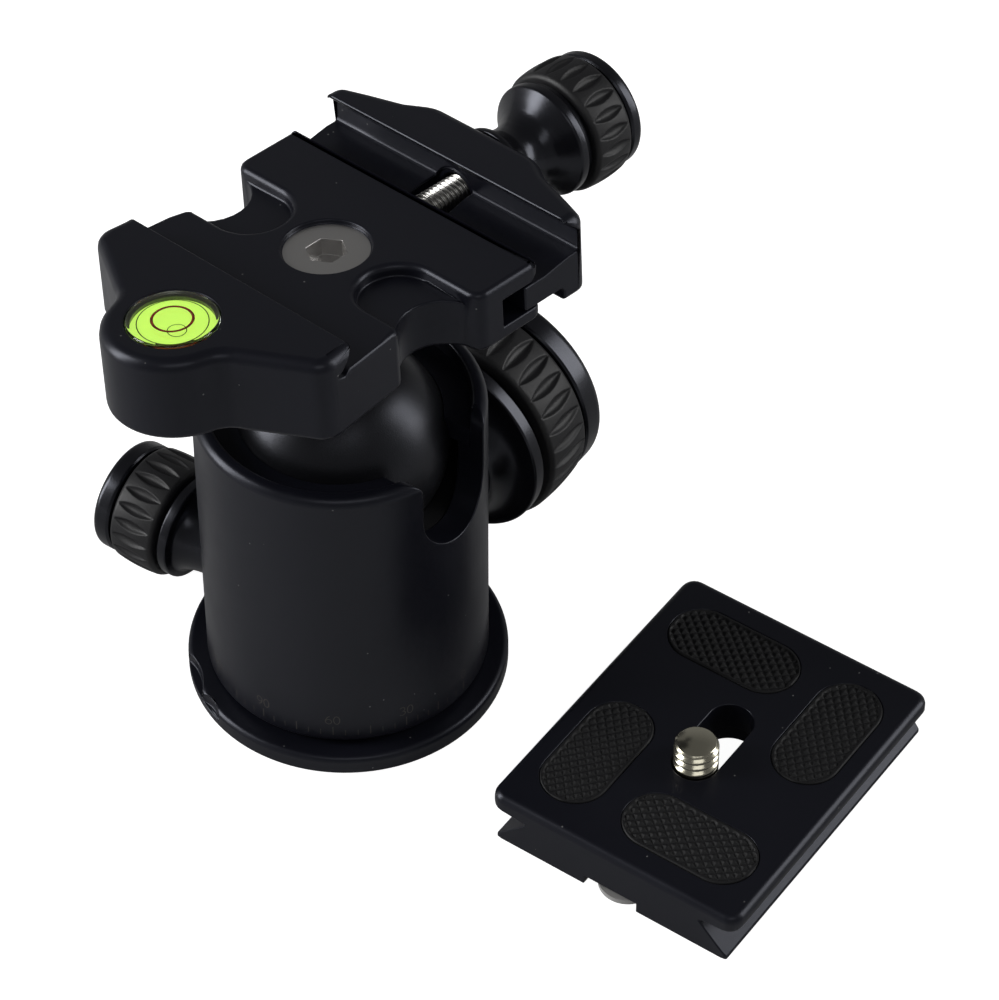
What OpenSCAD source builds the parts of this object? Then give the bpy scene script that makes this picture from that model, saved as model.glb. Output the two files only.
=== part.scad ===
// Tripod ball head: a panning base, a slotted housing that holds the ball,
// a dovetail clamp on the ball's stem and the clamp's own plate, taken off and
// standing beside the base. Millimetres, +Z up, origin at the mouth of the
// tripod socket. +X is the main lock knob's axis and +Y the pan knob's.

/* [Base] */
// Radius of the base disc
base_r = 23; // [21.5:0.1:26]
// Height of the base disc's rim
base_h = 3.24; // [2.6:0.02:4]
// Radius of the base disc's rounded upper lip
base_lip = 0.9; // [0.4:0.1:1.4]
// Radius of the spindle that the housing turns on
spindle_r = 11; // [9:0.1:12]
// Wall radius of the 3/8 inch tripod socket
socket_r = 4.76; // [3.2:0.01:5]
// Depth of the threaded wall of the tripod socket
socket_len = 10; // [8:0.5:11]
// Outer radius of the socket's steel insert
insert_r = 7; // [6:0.1:8]
// Thickness of the washer under the housing
pan_washer_h = 0.4; // [0.2:0.05:0.8]
// Radius of the index scallop in the base's rim
scallop_r = 9; // [7:0.5:14]

/* [Housing] */
// Outer radius of the housing
housing_r = 20.17; // [19.5:0.01:22]
// Height of the housing's rim above the floor
housing_top = 52; // [50.5:0.1:54]
// Radius of the mouth above the upper seat ring
mouth_r = 18; // [17.6:0.1:18.4]
// Radius of the bore that the lower seat slides in
bore_r = 16.2; // [15.8:0.1:16.8]
// Height of the web's top, over which the wedge slides
web_top = 16; // [15.8:0.1:16.4]
// Fillet of the housing's rim, outside
rim_fillet = 1.4; // [0.6:0.1:1.8]
// Half width of the drop notch
notch_r = 7; // [6.8:0.05:7.6]
// Rounding of the rim's corners beside the notch
notch_corner = 2.4; // [1:0.1:3]
// Height of the main lock knob's axis
main_axis_z = 23.3; // [22.8:0.1:23.6]
// Height of the pan knob's axis
pan_axis_z = 10.4; // [9.6:0.1:11.4]

/* [Ball] */
// Radius of the ball
ball_r = 15; // [14.5:0.1:15.4]
// Height of the ball's centre
ball_z = 44; // [43.6:0.1:44.6]
// Radius of the stem
stem_r = 6.2; // [5.4:0.1:6.4]
// Distance from the ball's centre to the clamp's underside
stem_len = 23; // [22.8:0.1:27]
// Radius of the stem's flange
flange_r = 9.4; // [8.6:0.1:10.5]
// Lean of the stem at rest, in degrees
lean = 7.23; // [0:0.01:9]
// Direction in which the stem leans
lean_az = 51.57; // [0:0.01:180]
// Turn of the clamp about the stem
clamp_yaw = -9.9; // [-20:0.05:20]

/* [Seats and wedge] */
// Height of the upper seat ring
seat_ring_h = 3.4; // [2.8:0.1:3.8]
// Rise of the wedge per millimetre of travel
wedge_slope = 0.28; // [0.2:0.01:0.3]
// Half length of the wedge
wedge_l = 9; // [8.4:0.1:9.4]
// Half width of the wedge
wedge_w = 6; // [4.5:0.1:7]

/* [Main lock knob] */
// Radius of the main screw
main_screw_r = 4; // [3.5:0.1:4.2]
// Gap between the housing and the hub
main_hub_gap = 0.58; // [0.45:0.01:1]
// Radius of the hub at the housing
main_hub_r = 10.4; // [8.5:0.1:12]
// Radius of the hub's flange
main_ring_r = 15.5; // [14.5:0.1:16]
// Radius of the rubber grip
main_grip_r = 16.5; // [16.2:0.1:17.5]
// Radius of the outer cap
main_cap_r = 16.1; // [15:0.1:16.4]
// Length of the rubber grip
main_grip_l = 8.6; // [7:0.1:10]

/* [Pan knob] */
// Radius of the pan screw
pan_screw_r = 3; // [2.5:0.1:3.2]
// Gap between the housing and the hub
pan_hub_gap = 0.58; // [0.45:0.01:1]
// Radius of the hub at the housing
pan_hub_r = 5.4; // [4.8:0.1:6]
// Radius of the hub's flange
pan_ring_r = 7.9; // [7.2:0.1:8.2]
// Radius of the rubber grip
pan_grip_r = 8.9; // [8.4:0.1:9.4]
// Radius of the outer cap
pan_cap_r = 8.4; // [7.8:0.1:8.6]
// Length of the rubber grip
pan_grip_l = 7.6; // [6:0.1:9]

/* [Clamp] */
// Height of the jaws' tops over the centre screw's head
jaw_top = 3.76; // [3.6:0.02:4.2]
// Height of the clamp's floor over the centre screw's head
floor_z = 0.65; // [0.5:0.05:0.9]
// Height of the clamp body below the centre screw's head
body_below = 8.6; // [8.4:0.1:9.2]
// Distance from the stem's axis to the fixed jaw's lip
fixed_lip_x = 15.5; // [15.2:0.1:15.8]
// Distance from the stem's axis to the moving jaw's lip
moving_lip_x = 22.05; // [21.6:0.05:22.4]
// Half length of the fixed jaw
fixed_half = 22; // [21.6:0.1:22.4]
// Half length of the moving jaw
jaw_half = 23.3; // [22.8:0.1:24]
// Half length of the clamp's floor
floor_half = 23.3; // [22.8:0.1:24]
// Radius of the level's boss
boss_r = 9.6; // [9:0.1:10.4]
// Level's centre, across the channel
level_x = -27.1; // [-27.6:0.1:-26.6]
// Radius of the level
level_r = 6.2; // [5.6:0.1:6.8]
// Fillet of the clamp's upper outer edges
clamp_fillet = 1.7; // [0.8:0.1:1.8]
// Radius of the clamp screw
clamp_screw_r = 2.5; // [2.3:0.1:2.6]
// Clamp screw's height
clamp_screw_z = -3.3; // [-3.5:0.05:-3.1]
// Radius of the guide pins
guide_pin_r = 1.25; // [1:0.05:1.3]
// Radius of the centre screw's countersunk head
center_head_r = 6; // [5.4:0.1:6.4]

/* [Clamp knob] */
// Gap between the moving jaw and the hub
clamp_hub_gap = 0.4; // [0.3:0.05:0.8]
// Radius of the hub's flange
clamp_ring_r = 8.3; // [7.9:0.1:8.6]
// Radius of the rubber grip
clamp_grip_r = 9.2; // [8.8:0.1:9.8]
// Radius of the outer cap
clamp_cap_r = 8.6; // [8.2:0.1:8.8]
// Length of the rubber grip
clamp_grip_l = 6.9; // [6:0.1:9]

/* [Plate] */
// Length of the plate along its dovetail
plate_l = 50.25; // [46:0.25:56]
// Width of the plate's top
plate_w = 40.5; // [39:0.25:44]
// Half width of the dovetail's flanges
plate_flange = 18.95; // [18.8:0.05:19.2]
// Thickness of the plate
plate_h = 8.57; // [8.2:0.05:9.2]
// Height of the plate's underside over the floor
plate_lift = 0.92; // [0.9:0.02:1.1]
// Plate's centre, along X
plate_x = 8.2; // [4:0.1:12]
// Plate's centre, along Y
plate_y = -56.5; // [-60:0.1:-54]
// Turn of the plate
plate_yaw = -0.68; // [-4:0.02:4]
// Half width of the plate's slot
slot_r = 3.3; // [3.25:0.05:3.6]
// Overall length of the plate's slot
slot_l = 15.5; // [13:0.1:17]
// Length of a rubber pad
pad_l = 20.5; // [17:0.1:21]
// Width of a rubber pad
pad_w = 10; // [8:0.1:10.6]
// Radius of the 1/4 inch camera screw
camera_screw_r = 3.175; // [3:0.005:3.2]
// Height of the camera screw over the plate's top
camera_screw_up = 4.2; // [3.6:0.1:5.5]

/* [Hidden] */

$fn = 96;

// Clearances
run_gap = 0.05;     // a shaft in its bore, on the radius
seat_gap = 0.1;     // the ball in its seats
pan_gap = 0.1;      // the housing over its washer
screw_clear = 0.3;  // the clamp screw in its clearance hole
eps = 0.02;         // overshoot of a cut past a face

// Base and spindle
base_edge = 0.4;                            // bevel of the base's lower edge
housing_z0 = base_h + pan_washer_h + pan_gap;
clip_h = 1.1;                               // thickness of the spindle's clip
clip_z = web_top + pan_gap;
spindle_top = clip_z + clip_h + 0.8;
clip_r = spindle_r + 1.6;
clip_groove_r = spindle_r - 1.1;
clip_gap = 5;                               // opening of the clip
scallop_az = 131;                           // where the index scallop begins
scallop_mid = 151;                          // its cusp
scallop_end = 163;
scallop_h = 1.7;

// Seats
seat_ring_top = ball_z + 5.3;
seat_ring_z = seat_ring_top - seat_ring_h;
cup_top = ball_z - 7;                       // upper edge of the lower seat
cup_z = 27.8;                               // underside of the lower seat's cup
wedge_low = 22;                             // height of the wedge's thin end
wedge_bottom = web_top + clip_h + pan_gap + 1.2;

// Main knob, distances from the housing's axis
main_hub_x = housing_r + main_hub_gap;
main_ring_x = main_hub_x + 4.05;
main_ring_x2 = main_hub_x + 6.35;
main_grip_x = main_hub_x + 7.45;
main_cap_x = main_grip_x + main_grip_l + 0.4;
main_end_x = main_cap_x + 4;
main_core_r = main_grip_r - 3;
main_bush_r = 6.5;
main_bush_lip = 0.2;                        // how far the bush stands out of the housing
main_dimples = 34;

// Pan knob
pan_hub_x = housing_r + pan_hub_gap;
pan_ring_x = pan_hub_x + 5.75;
pan_ring_x2 = pan_hub_x + 7.35;
pan_grip_x = pan_hub_x + 7.95;
pan_cap_x = pan_grip_x + pan_grip_l + 0.4;
pan_end_x = pan_cap_x + 2.9;
pan_core_r = pan_grip_r - 2.2;
pan_shoe_r = 3.9;
pan_shoe_l = 3.4;
pan_dimples = 22;

// Clamp
clamp_up = stem_len + body_below;           // centre screw's head over the ball's centre
body_z0 = -body_below;
lip_tip = 0.5;                              // height of a lip's blunt edge
floor_x = 16.4;                             // outer edge of the clamp's floor
tongue_end = 13.6;                          // inner end of the moving jaw's tongue
slot_x = 9.6;                               // inner end of the tongue's slot
slot_top = -2.2;
slot_bottom = -6.5;
lower_lip_x = 17;
jaw_back = 30.4;                            // outer face of the moving jaw
jaw_inner = 21;                             // inner face of the jaw under its ledge
jaw_corner = 1.9;                           // rounding of the moving jaw's corners
jaw_round = 6;                              // rounding of its outer face
jaw_flat = 8;                               // half length of its flat outer face
ledge_z = -1.76;
tongue_z = -2.5;                            // top of the tongue
center_shank_r = 3;
center_head_h = 3;
guide_pin_y = 14.5;
guide_pin_z = -4.4;
screw_hole_x = 6.3;                         // inner end of the clamp screw's thread
screw_tip_x = 10.1;                         // inner end of the clamp screw
screw_notch_r = 3.7;                        // hollow in the ledge that shows the thread
waist_x = -0.9;
waist_y = 22.6;
waist_r = 6;
waist_a = 15;                               // where the waist meets the floor's ends
waist_b = 150;
corner_r = 3;
end_r = 2;                                  // roundings of the floor's plan
front_r = 1.9;
blend_r = 4.5;                              // hollow between the level's boss and the flanks
blend_a = 106;
flank_a = 20;
blend_d = boss_r + blend_r;
pocket_r = 5.5;
pocket_x = -0.6;
pocket_y = 14;
pocket_depth = 1.8;
pin_r = 1;
pin_ring_r = 7.4;
level_h = 5;                                // depth of the level's pocket
level_wall = 0.8;
lens_h = 1.4;
lens_up = 0.4;                              // how far the lens stands over the jaw

// Ball and stem
stem_foot = sqrt(ball_r * ball_r - stem_r * stem_r) - 0.1;
spigot_r = 4;
spigot_len = 9;

// Clamp knob, distances from the stem's axis
clamp_hub_x = jaw_back + clamp_hub_gap;
clamp_ring_x = clamp_hub_x + 9.6;
clamp_ring_x2 = clamp_ring_x + 1.3;
clamp_grip_x = clamp_ring_x2 + 1.1;
clamp_cap_x = clamp_grip_x + clamp_grip_l + 0.3;
clamp_end_x = clamp_cap_x + 2.1;
clamp_core_r = clamp_grip_r - 2.2;
clamp_dimples = 22;

// Plate
plate_corner = 2.2;
plate_fillet = 1.2;
flange_h = 0.6;                             // blunt edge of the dovetail
apex_y = 14.05;                             // root of the dovetail's groove
apex_z = 5.5;
slab_edge_z = 6.23;                         // underside of the plate at its edge
recess_h = 3.7;                             // depth of the recess under the slot
channel_w = 8.5;                            // width of the channel under the plate
channel_h = 1.6;
screw_x = -4.2;                             // camera screw's place in its slot
pad_depth = 1;
pad_proud = 0.15;
neck_r = 2.6;                               // camera screw's neck in the slot
neck_up = 0.05;
head_r = channel_w / 2 - 0.25;
head_z0 = 1.5;
washer_h = 0.5;
washer_z = recess_h - 0.05 - washer_h;
head_z1 = washer_z - 0.05;
thread_bevel = 0.5;
ring_h = 0.8;                               // thickness of the screw's folding ring
ring_reach = 20.6;
ring_w = 8;
ring_bar = 1.8;
lug_w = ring_w - 2 * ring_bar - 0.3;
pivot_z = ring_h / 2 - plate_lift;
pivot_x = -2.4;
pivot_r = 0.25;

// ---------------------------------------------------------------- helpers

// Points of an arc about c from angle a0 to a1
function arc(c, r, a0, a1, n = 8) =
    [for (i = [0:n]) let (a = a0 + (a1 - a0) * i / n) [c.x + r * cos(a), c.y + r * sin(a)]];

function unit(v) = v / norm(v);

// An outline, counter-clockwise, moved inward by d at every corner
function inset(p, d) =
    [for (i = [0:len(p) - 1])
        let (a = unit(p[i] - p[(i + len(p) - 1) % len(p)]))
        let (b = unit(p[(i + 1) % len(p)] - p[i]))
        let (na = [-a.y, a.x], nb = [-b.y, b.x])
        p[i] + d * (na + nb) / (1 + na * nb)];

// Insets and heights of a slab's rings, with a round lower and upper edge
function slab_levels(z0, z1, rb, rt, n = 4) =
    concat(
        [for (k = [0:n]) [rb * (1 - sin(90 * k / n)), z0 + rb * (1 - cos(90 * k / n))]],
        [for (k = [0:n]) [rt * (1 - cos(90 * k / n)), z1 - rt + rt * sin(90 * k / n)]]);

// A slab over an outline, with its rings taken from slab_levels
module slab(outline, levels) {
    n = len(outline);
    m = len(levels);
    points = [for (l = levels) each [for (q = inset(outline, l[0])) [q.x, q.y, l[1]]]];
    sides = [for (j = [0:m - 2], i = [0:n - 1])
        let (k = (i + 1) % n)
        each [[j * n + i, (j + 1) * n + i, (j + 1) * n + k], [j * n + i, (j + 1) * n + k, j * n + k]]];
    bottom = [for (i = [0:n - 1]) i];
    top = [for (i = [n - 1:-1:0]) (m - 1) * n + i];
    polyhedron(points, concat(sides, [bottom, top]), convexity = 6);
}

// Lays what is built along +Z along +X
module along_x() { rotate([0, 90, 0]) children(); }

// Lays what is built along +Z along +Y
module along_y() { rotate([-90, 0, 0]) children(); }

// A bar along +X with a profile in X and Z, drawn across Y
module across_y(y0, y1) {
    translate([0, y1, 0]) rotate([90, 0, 0]) linear_extrude(y1 - y0, convexity = 6) children();
}

// Frame of the stem: the ball's centre, with +Z along the stem at rest
module stem_frame() {
    translate([0, 0, ball_z])
        rotate([0, 0, lean_az]) rotate([0, lean, 0]) rotate([0, 0, clamp_yaw - lean_az])
            children();
}

// Frame of the clamp: on the stem's axis, at the top of the centre screw
module clamp_frame() { stem_frame() translate([0, 0, clamp_up]) children(); }

// Frame of the clamp screw, with +Z outward along the screw
module clamp_screw_frame() {
    clamp_frame() translate([0, 0, clamp_screw_z]) along_x() children();
}

module main_frame() { translate([0, 0, main_axis_z]) along_x() children(); }

module pan_frame() { translate([0, 0, pan_axis_z]) along_y() children(); }

// Frame of the plate, at the middle of its underside
module plate_frame() {
    translate([plate_x, plate_y, plate_lift]) rotate([0, 0, plate_yaw]) children();
}

// ------------------------------------------------------------ knob pieces

// Turned hub: a foot that flares in a hollow curve to a flange, then a core
module knob_hub(x0, foot_r, ring_x, ring_x2, ring_r, grip_x, core_r, end_x, screw_r) {
    flare = ring_x - x0;
    rise = ring_r - 0.7 - foot_r;
    rotate_extrude()
        polygon(concat(
            [[screw_r, x0], [foot_r, x0]],
            [for (i = [1:8]) [foot_r + rise * (1 - cos(i * 11.25)), x0 + flare * sin(i * 11.25)]],
            [[ring_r - 0.1, ring_x + 0.3], [ring_r, ring_x2 - 0.4], [ring_r - 0.4, ring_x2]],
            [[core_r + 0.9, ring_x2], [core_r + 0.9, grip_x - 0.1], [core_r, grip_x - 0.1]],
            [[core_r, end_x], [screw_r, end_x]]));
}

// Rubber sleeve with a slight barrel and leaf-shaped dimples all round
module knob_grip(x0, len, r, core_r, dimples) {
    edge = 0.7;
    reach = len / 2 - 0.5;
    leaf = r * PI / dimples * 0.72;
    difference() {
        rotate_extrude()
            polygon([
                [core_r, x0], [r - edge - 0.3, x0], [r - 0.3, x0 + edge],
                [r, x0 + len * 0.35], [r, x0 + len * 0.65],
                [r - 0.3, x0 + len - edge], [r - edge - 0.3, x0 + len], [core_r, x0 + len]]);
        for (i = [0:dimples - 1])
            rotate([0, 0, 360 * i / dimples])
                translate([r, 0, x0 + len / 2])
                    scale([0.8, 1, 1])
                        for (s = [0, 1])
                            mirror([0, 0, s])
                                cylinder(h = reach, r1 = leaf, r2 = 0, $fn = 8);
    }
}

// End cap with a round rim and a shallow dish in its face
module knob_cap(x0, x1, r, rim = 1.3) {
    rotate_extrude()
        polygon(concat(
            [[0, x0], [r - 0.3, x0], [r, x0 + 0.3]],
            [for (p = arc([r - rim, x1 - rim], rim, 0, 90, 6)) p],
            [[r - rim - 1.2, x1], [r - rim - 1.6, x1 - 0.4], [0, x1 - 0.4]]));
}

// ------------------------------------------------------------ base pieces

// Hollow in the base's rim between two directions
module rim_hollow(a0, a1, r) {
    half = base_r * sin((a1 - a0) / 2);
    reach = base_r * cos((a1 - a0) / 2) + sqrt(r * r - half * half);
    rotate([0, 0, (a0 + a1) / 2])
        translate([reach, 0, base_h - scallop_h]) cylinder(h = scallop_h + 1, r = r);
}

module base_disc() {
    color("#1c1c1e")
        difference() {
            rotate_extrude()
                polygon(concat(
                    [[insert_r, 0], [base_r - base_edge, 0], [base_r, base_edge]],
                    arc([base_r - base_lip, base_h - base_lip], base_lip, 0, 90, 8),
                    [[insert_r, base_h]]));
            rim_hollow(scallop_az, scallop_mid, scallop_r);
            rim_hollow(scallop_mid, scallop_end, scallop_r * 0.6);
        }
}

module pan_spindle() {
    color("#2a2a2c")
        rotate_extrude()
            polygon([
                [insert_r, base_h], [spindle_r, base_h], [spindle_r, clip_z],
                [clip_groove_r, clip_z], [clip_groove_r, clip_z + clip_h],
                [spindle_r, clip_z + clip_h], [spindle_r, spindle_top - 0.5],
                [spindle_r - 0.5, spindle_top], [0, spindle_top], [0, socket_len],
                [insert_r, socket_len]]);
}

module tripod_insert() {
    color("silver")
        difference() {
            cylinder(h = socket_len, r = insert_r);
            translate([0, 0, -1]) cylinder(h = socket_len + 2, r = socket_r);
        }
}

module pan_washer() {
    color("ivory")
        translate([0, 0, base_h])
            difference() {
                cylinder(h = pan_washer_h, r = housing_r - 1);
                translate([0, 0, -1]) cylinder(h = 3, r = spindle_r + run_gap);
            }
}

module spindle_clip() {
    color("gray")
        translate([0, 0, clip_z])
            difference() {
                cylinder(h = clip_h, r = clip_r);
                translate([0, 0, -1]) cylinder(h = 4, r = clip_groove_r);
                translate([0, -clip_gap / 2, -1]) cube([clip_r + 1, clip_gap, 4]);
            }
}

// --------------------------------------------------------- housing pieces

// Round-bottomed notch that lets the stem drop to level
module notch_cut(r) {
    translate([0, -housing_r - 5, ball_z]) along_y() cylinder(h = housing_r + 5, r = r);
    translate([-r, -housing_r - 5, ball_z]) cube([2 * r, housing_r + 5, 20]);
}

// Rounding of the rim's corners beside the notch
module notch_corners(r) {
    reach = housing_r + 5;
    for (s = [-1, 1])
        difference() {
            translate([s > 0 ? notch_r - 0.5 : -notch_r - r, -reach, housing_top - r])
                cube([r + 0.5, reach, r + 1]);
            translate([s * (notch_r + r), -reach - 1, housing_top - r])
                along_y() cylinder(h = reach + 2, r = r);
        }
}

module housing() {
    color("#202022")
        difference() {
            rotate_extrude()
                polygon(concat(
                    [[spindle_r + run_gap, housing_z0], [housing_r - 0.5, housing_z0]],
                    [[housing_r, housing_z0 + 0.5]],
                    arc([housing_r - rim_fillet, housing_top - rim_fillet], rim_fillet, 0, 90, 8),
                    [[mouth_r + 0.3, housing_top], [mouth_r, housing_top - 0.3]],
                    [[mouth_r, seat_ring_z], [bore_r, seat_ring_z], [bore_r, web_top]],
                    [[spindle_r + run_gap, web_top]]));
            notch_cut(notch_r);
            notch_corners(notch_corner);
            main_frame() translate([0, 0, 10]) cylinder(h = 20, r = main_bush_r);
            pan_frame() translate([0, 0, spindle_r - 1])
                cylinder(h = pan_shoe_l + 2.8, r = pan_shoe_r + run_gap);
            pan_frame() cylinder(h = housing_r + 5, r = pan_screw_r + run_gap);
        }
}

module seat_ring() {
    color("#2a2a2c")
        difference() {
            translate([0, 0, seat_ring_z]) cylinder(h = seat_ring_h, r = mouth_r);
            translate([0, 0, ball_z]) sphere(r = ball_r + seat_gap, $fn = 128);
            notch_cut(notch_r);
        }
}

module main_bush() {
    color("#8c7a4a")
        main_frame()
            difference() {
                translate([0, 0, bore_r])
                    cylinder(h = housing_r + main_bush_lip - bore_r, r = main_bush_r);
                cylinder(h = 40, r = main_screw_r + run_gap);
            }
}

// Height of the wedge's sloped face at x
function wedge_z(x) = wedge_low + (x + wedge_l) * wedge_slope;

module lower_seat() {
    foot = wedge_l - 1.5;
    color("#d8d4c8")
        difference() {
            union() {
                translate([0, 0, cup_z]) cylinder(h = cup_top - cup_z, r = bore_r - run_gap);
                across_y(-wedge_w, wedge_w)
                    polygon([
                        [-wedge_l, wedge_z(-wedge_l) + run_gap], [foot, wedge_z(foot) + run_gap],
                        [foot, cup_z + eps], [-wedge_l, cup_z + eps]]);
            }
            translate([0, 0, ball_z]) sphere(r = ball_r + seat_gap, $fn = 128);
        }
}

module lock_wedge() {
    color("#b8a468")
        across_y(-wedge_w, wedge_w)
            polygon([
                [-wedge_l, wedge_bottom], [wedge_l, wedge_bottom],
                [wedge_l, wedge_z(wedge_l)], [-wedge_l, wedge_z(-wedge_l)]]);
}

// A coil of round rings, open at neither end
module coil(len, r, wire, turns) {
    for (i = [0:turns - 1])
        translate([0, 0, wire + (len - 2 * wire) * i / (turns - 1)])
            rotate_extrude() translate([r - wire, 0]) circle(r = wire, $fn = 16);
}

module wedge_spring() {
    color("silver")
        translate([-bore_r + 0.6, 0, (wedge_low + wedge_bottom) / 2])
            along_x() coil(bore_r - 0.6 - wedge_l - 0.05, 2, 0.35, 6);
}

module main_hub() {
    color("#1a1a1c")
        main_frame()
            knob_hub(main_hub_x, main_hub_r, main_ring_x, main_ring_x2, main_ring_r,
                     main_grip_x, main_core_r, main_cap_x, main_screw_r);
}

module main_grip() {
    color("#2e2e30")
        main_frame() knob_grip(main_grip_x, main_grip_l, main_grip_r, main_core_r, main_dimples);
}

module main_cap() {
    color("#161618") main_frame() knob_cap(main_cap_x, main_end_x, main_cap_r);
}

module main_screw() {
    color("silver")
        main_frame()
            translate([0, 0, wedge_l + run_gap])
                cylinder(h = main_cap_x - wedge_l - run_gap, r = main_screw_r);
}

// -------------------------------------------------------------- pan lock

module pan_shoe() {
    color("#b08d57")
        pan_frame()
            translate([0, 0, spindle_r + seat_gap]) cylinder(h = pan_shoe_l, r = pan_shoe_r);
}

module pan_hub() {
    color("#1a1a1c")
        pan_frame()
            knob_hub(pan_hub_x, pan_hub_r, pan_ring_x, pan_ring_x2, pan_ring_r,
                     pan_grip_x, pan_core_r, pan_cap_x, pan_screw_r);
}

module pan_grip() {
    color("#2e2e30")
        pan_frame() knob_grip(pan_grip_x, pan_grip_l, pan_grip_r, pan_core_r, pan_dimples);
}

module pan_cap() {
    color("#161618") pan_frame() knob_cap(pan_cap_x, pan_end_x, pan_cap_r, 1);
}

module pan_screw() {
    start = spindle_r + seat_gap + pan_shoe_l + run_gap;
    color("silver")
        pan_frame() translate([0, 0, start]) cylinder(h = pan_cap_x - start, r = pan_screw_r);
}

// ---------------------------------------------------------- ball and stem

module ball() {
    color("#101012")
        stem_frame()
            difference() {
                sphere(r = ball_r, $fn = 128);
                translate([0, 0, stem_foot]) cylinder(h = ball_r, r = ball_r);
                translate([0, 0, stem_foot - spigot_len - 0.3])
                    cylinder(h = ball_r, r = spigot_r + run_gap);
            }
}

module stem() {
    flare_z = stem_len - 4;
    color("#1a1a1c")
        stem_frame()
            difference() {
                rotate_extrude()
                    polygon(concat(
                        [[0, stem_foot - spigot_len], [spigot_r, stem_foot - spigot_len]],
                        [[spigot_r, stem_foot + 0.1], [stem_r, stem_foot + 0.1]],
                        [for (i = [0:6])
                            [stem_r + (flange_r - stem_r) * (1 - cos(i * 15)),
                             flare_z + 2.4 * sin(i * 15)]],
                        [[flange_r, stem_len], [0, stem_len]]));
                translate([0, 0, stem_len - 13]) cylinder(h = 14, r = center_shank_r);
                pin_places() translate([0, 0, stem_len - 2.6]) cylinder(h = 4, r = pin_r);
            }
}

// ------------------------------------------------------------------ clamp

module pin_places() {
    for (a = [90, 270]) rotate([0, 0, a]) translate([pin_ring_r, 0, 0]) children();
}

function blend_c(s) = [level_x + blend_d * cos(blend_a), s * blend_d * sin(blend_a)];

// One end of the clamp: front corner, waist and the corner by the fixed jaw
function clamp_end() =
    let (a = waist_x + waist_r * cos(waist_a) + end_r)
    let (c = [waist_x, waist_y] + (waist_r + end_r) * [cos(waist_b), -sin(waist_b)])
    concat(
        arc([lower_lip_x - front_r, floor_half - front_r], front_r, 0, 90, 4),
        arc([a, floor_half - end_r], end_r, 90, 180, 4),
        arc([waist_x, waist_y], waist_r, -waist_a - 4, -waist_b, 10),
        arc(c, end_r, 192 - waist_b, 80, 3),
        arc([-19.4, fixed_half - corner_r], corner_r, 83, 160, 5),
        arc(blend_c(1), blend_r, -flank_a, blend_a - 180, 6));

// Outline of the clamp body: two ends and the level's boss
clamp_outline = concat(
    clamp_end(),
    arc([level_x, 0], boss_r, blend_a + 7, 353 - blend_a, 22),
    [for (i = [len(clamp_end()) - 1:-1:0]) let (p = clamp_end()[i]) [p.x, -p.y]]);

// What the fixed jaw's undercut and the clamp's floor leave open
module channel_profile() {
    tip_z = jaw_top - lip_tip;
    drop = tip_z - floor_z - 0.3;
    root = -fixed_lip_x - drop;
    polygon([
        [-fixed_lip_x, jaw_top + 5], [-fixed_lip_x, tip_z],
        [root, tip_z - drop], [root - 0.8, tip_z - drop - 0.2],
        [root - 0.8, floor_z - 0.3], [root + 0.4, floor_z - 0.7],
        [root + 1.6, floor_z], [floor_x + 9, floor_z], [floor_x + 9, jaw_top + 5]]);
}

// The slot for the jaw's tongue, and what is open over the lower lip
module tongue_slot_profile() {
    polygon([
        [floor_x - 0.5, floor_z + 1], [floor_x - 0.5, floor_z - 0.25], [floor_x, floor_z - 1],
        [floor_x, slot_top + 1.1], [floor_x - 1.5, slot_top], [slot_x, slot_top],
        [slot_x, slot_bottom], [lower_lip_x - 0.7, slot_bottom], [lower_lip_x, slot_bottom - 0.7],
        [lower_lip_x + 5, slot_bottom - 0.7], [lower_lip_x + 5, floor_z + 1]]);
}

module clamp_body() {
    wide = floor_half + 5;
    head_r = center_head_r + 0.1;
    color("#1e1e20")
        clamp_frame()
            difference() {
                slab(clamp_outline, slab_levels(body_z0, jaw_top, 0.8, clamp_fillet));
                across_y(-wide, wide) channel_profile();
                across_y(-wide, wide) tongue_slot_profile();
                for (s = [-1, 1]) {
                    translate([pocket_x, s * pocket_y, floor_z - pocket_depth])
                        cylinder(h = 5, r = pocket_r);
                    translate([pocket_x, s * (pocket_y + 5), floor_z - pocket_depth + 2.5])
                        cube([2 * pocket_r, 10, 5], center = true);
                    translate([slot_x - 8, s * guide_pin_y, guide_pin_z])
                        along_x() cylinder(h = 10, r = guide_pin_r + run_gap);
                }
                translate([level_x, 0, jaw_top - level_h])
                    cylinder(h = level_h + 1, r = level_r + run_gap);
                translate([0, 0, -center_head_h - 0.1])
                    cylinder(h = center_head_h + 0.1, r1 = center_shank_r + 0.1, r2 = head_r);
                translate([0, 0, -eps]) cylinder(h = 2, r = head_r);
                translate([0, 0, body_z0 - 1]) cylinder(h = 12, r = center_shank_r + 0.1);
                pin_places() translate([0, 0, body_z0 - 1]) cylinder(h = 3.6, r = pin_r);
                translate([screw_hole_x, 0, clamp_screw_z])
                    along_x() cylinder(h = 20, r = clamp_screw_r + run_gap);
            }
}

module center_screw() {
    color("silver")
        clamp_frame()
            difference() {
                union() {
                    translate([0, 0, -center_head_h])
                        cylinder(h = center_head_h, r1 = center_shank_r, r2 = center_head_r);
                    translate([0, 0, -20]) cylinder(h = 17 + eps, r = center_shank_r);
                }
                translate([0, 0, -2.6]) cylinder(h = 4, r = 2.9, $fn = 6);
            }
}

module locating_pins() {
    color("gray")
        clamp_frame() pin_places() translate([0, 0, body_z0 - 2.5]) cylinder(h = 5, r = pin_r);
}

module level_frame() { clamp_frame() translate([level_x, 0, jaw_top]) children(); }

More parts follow.
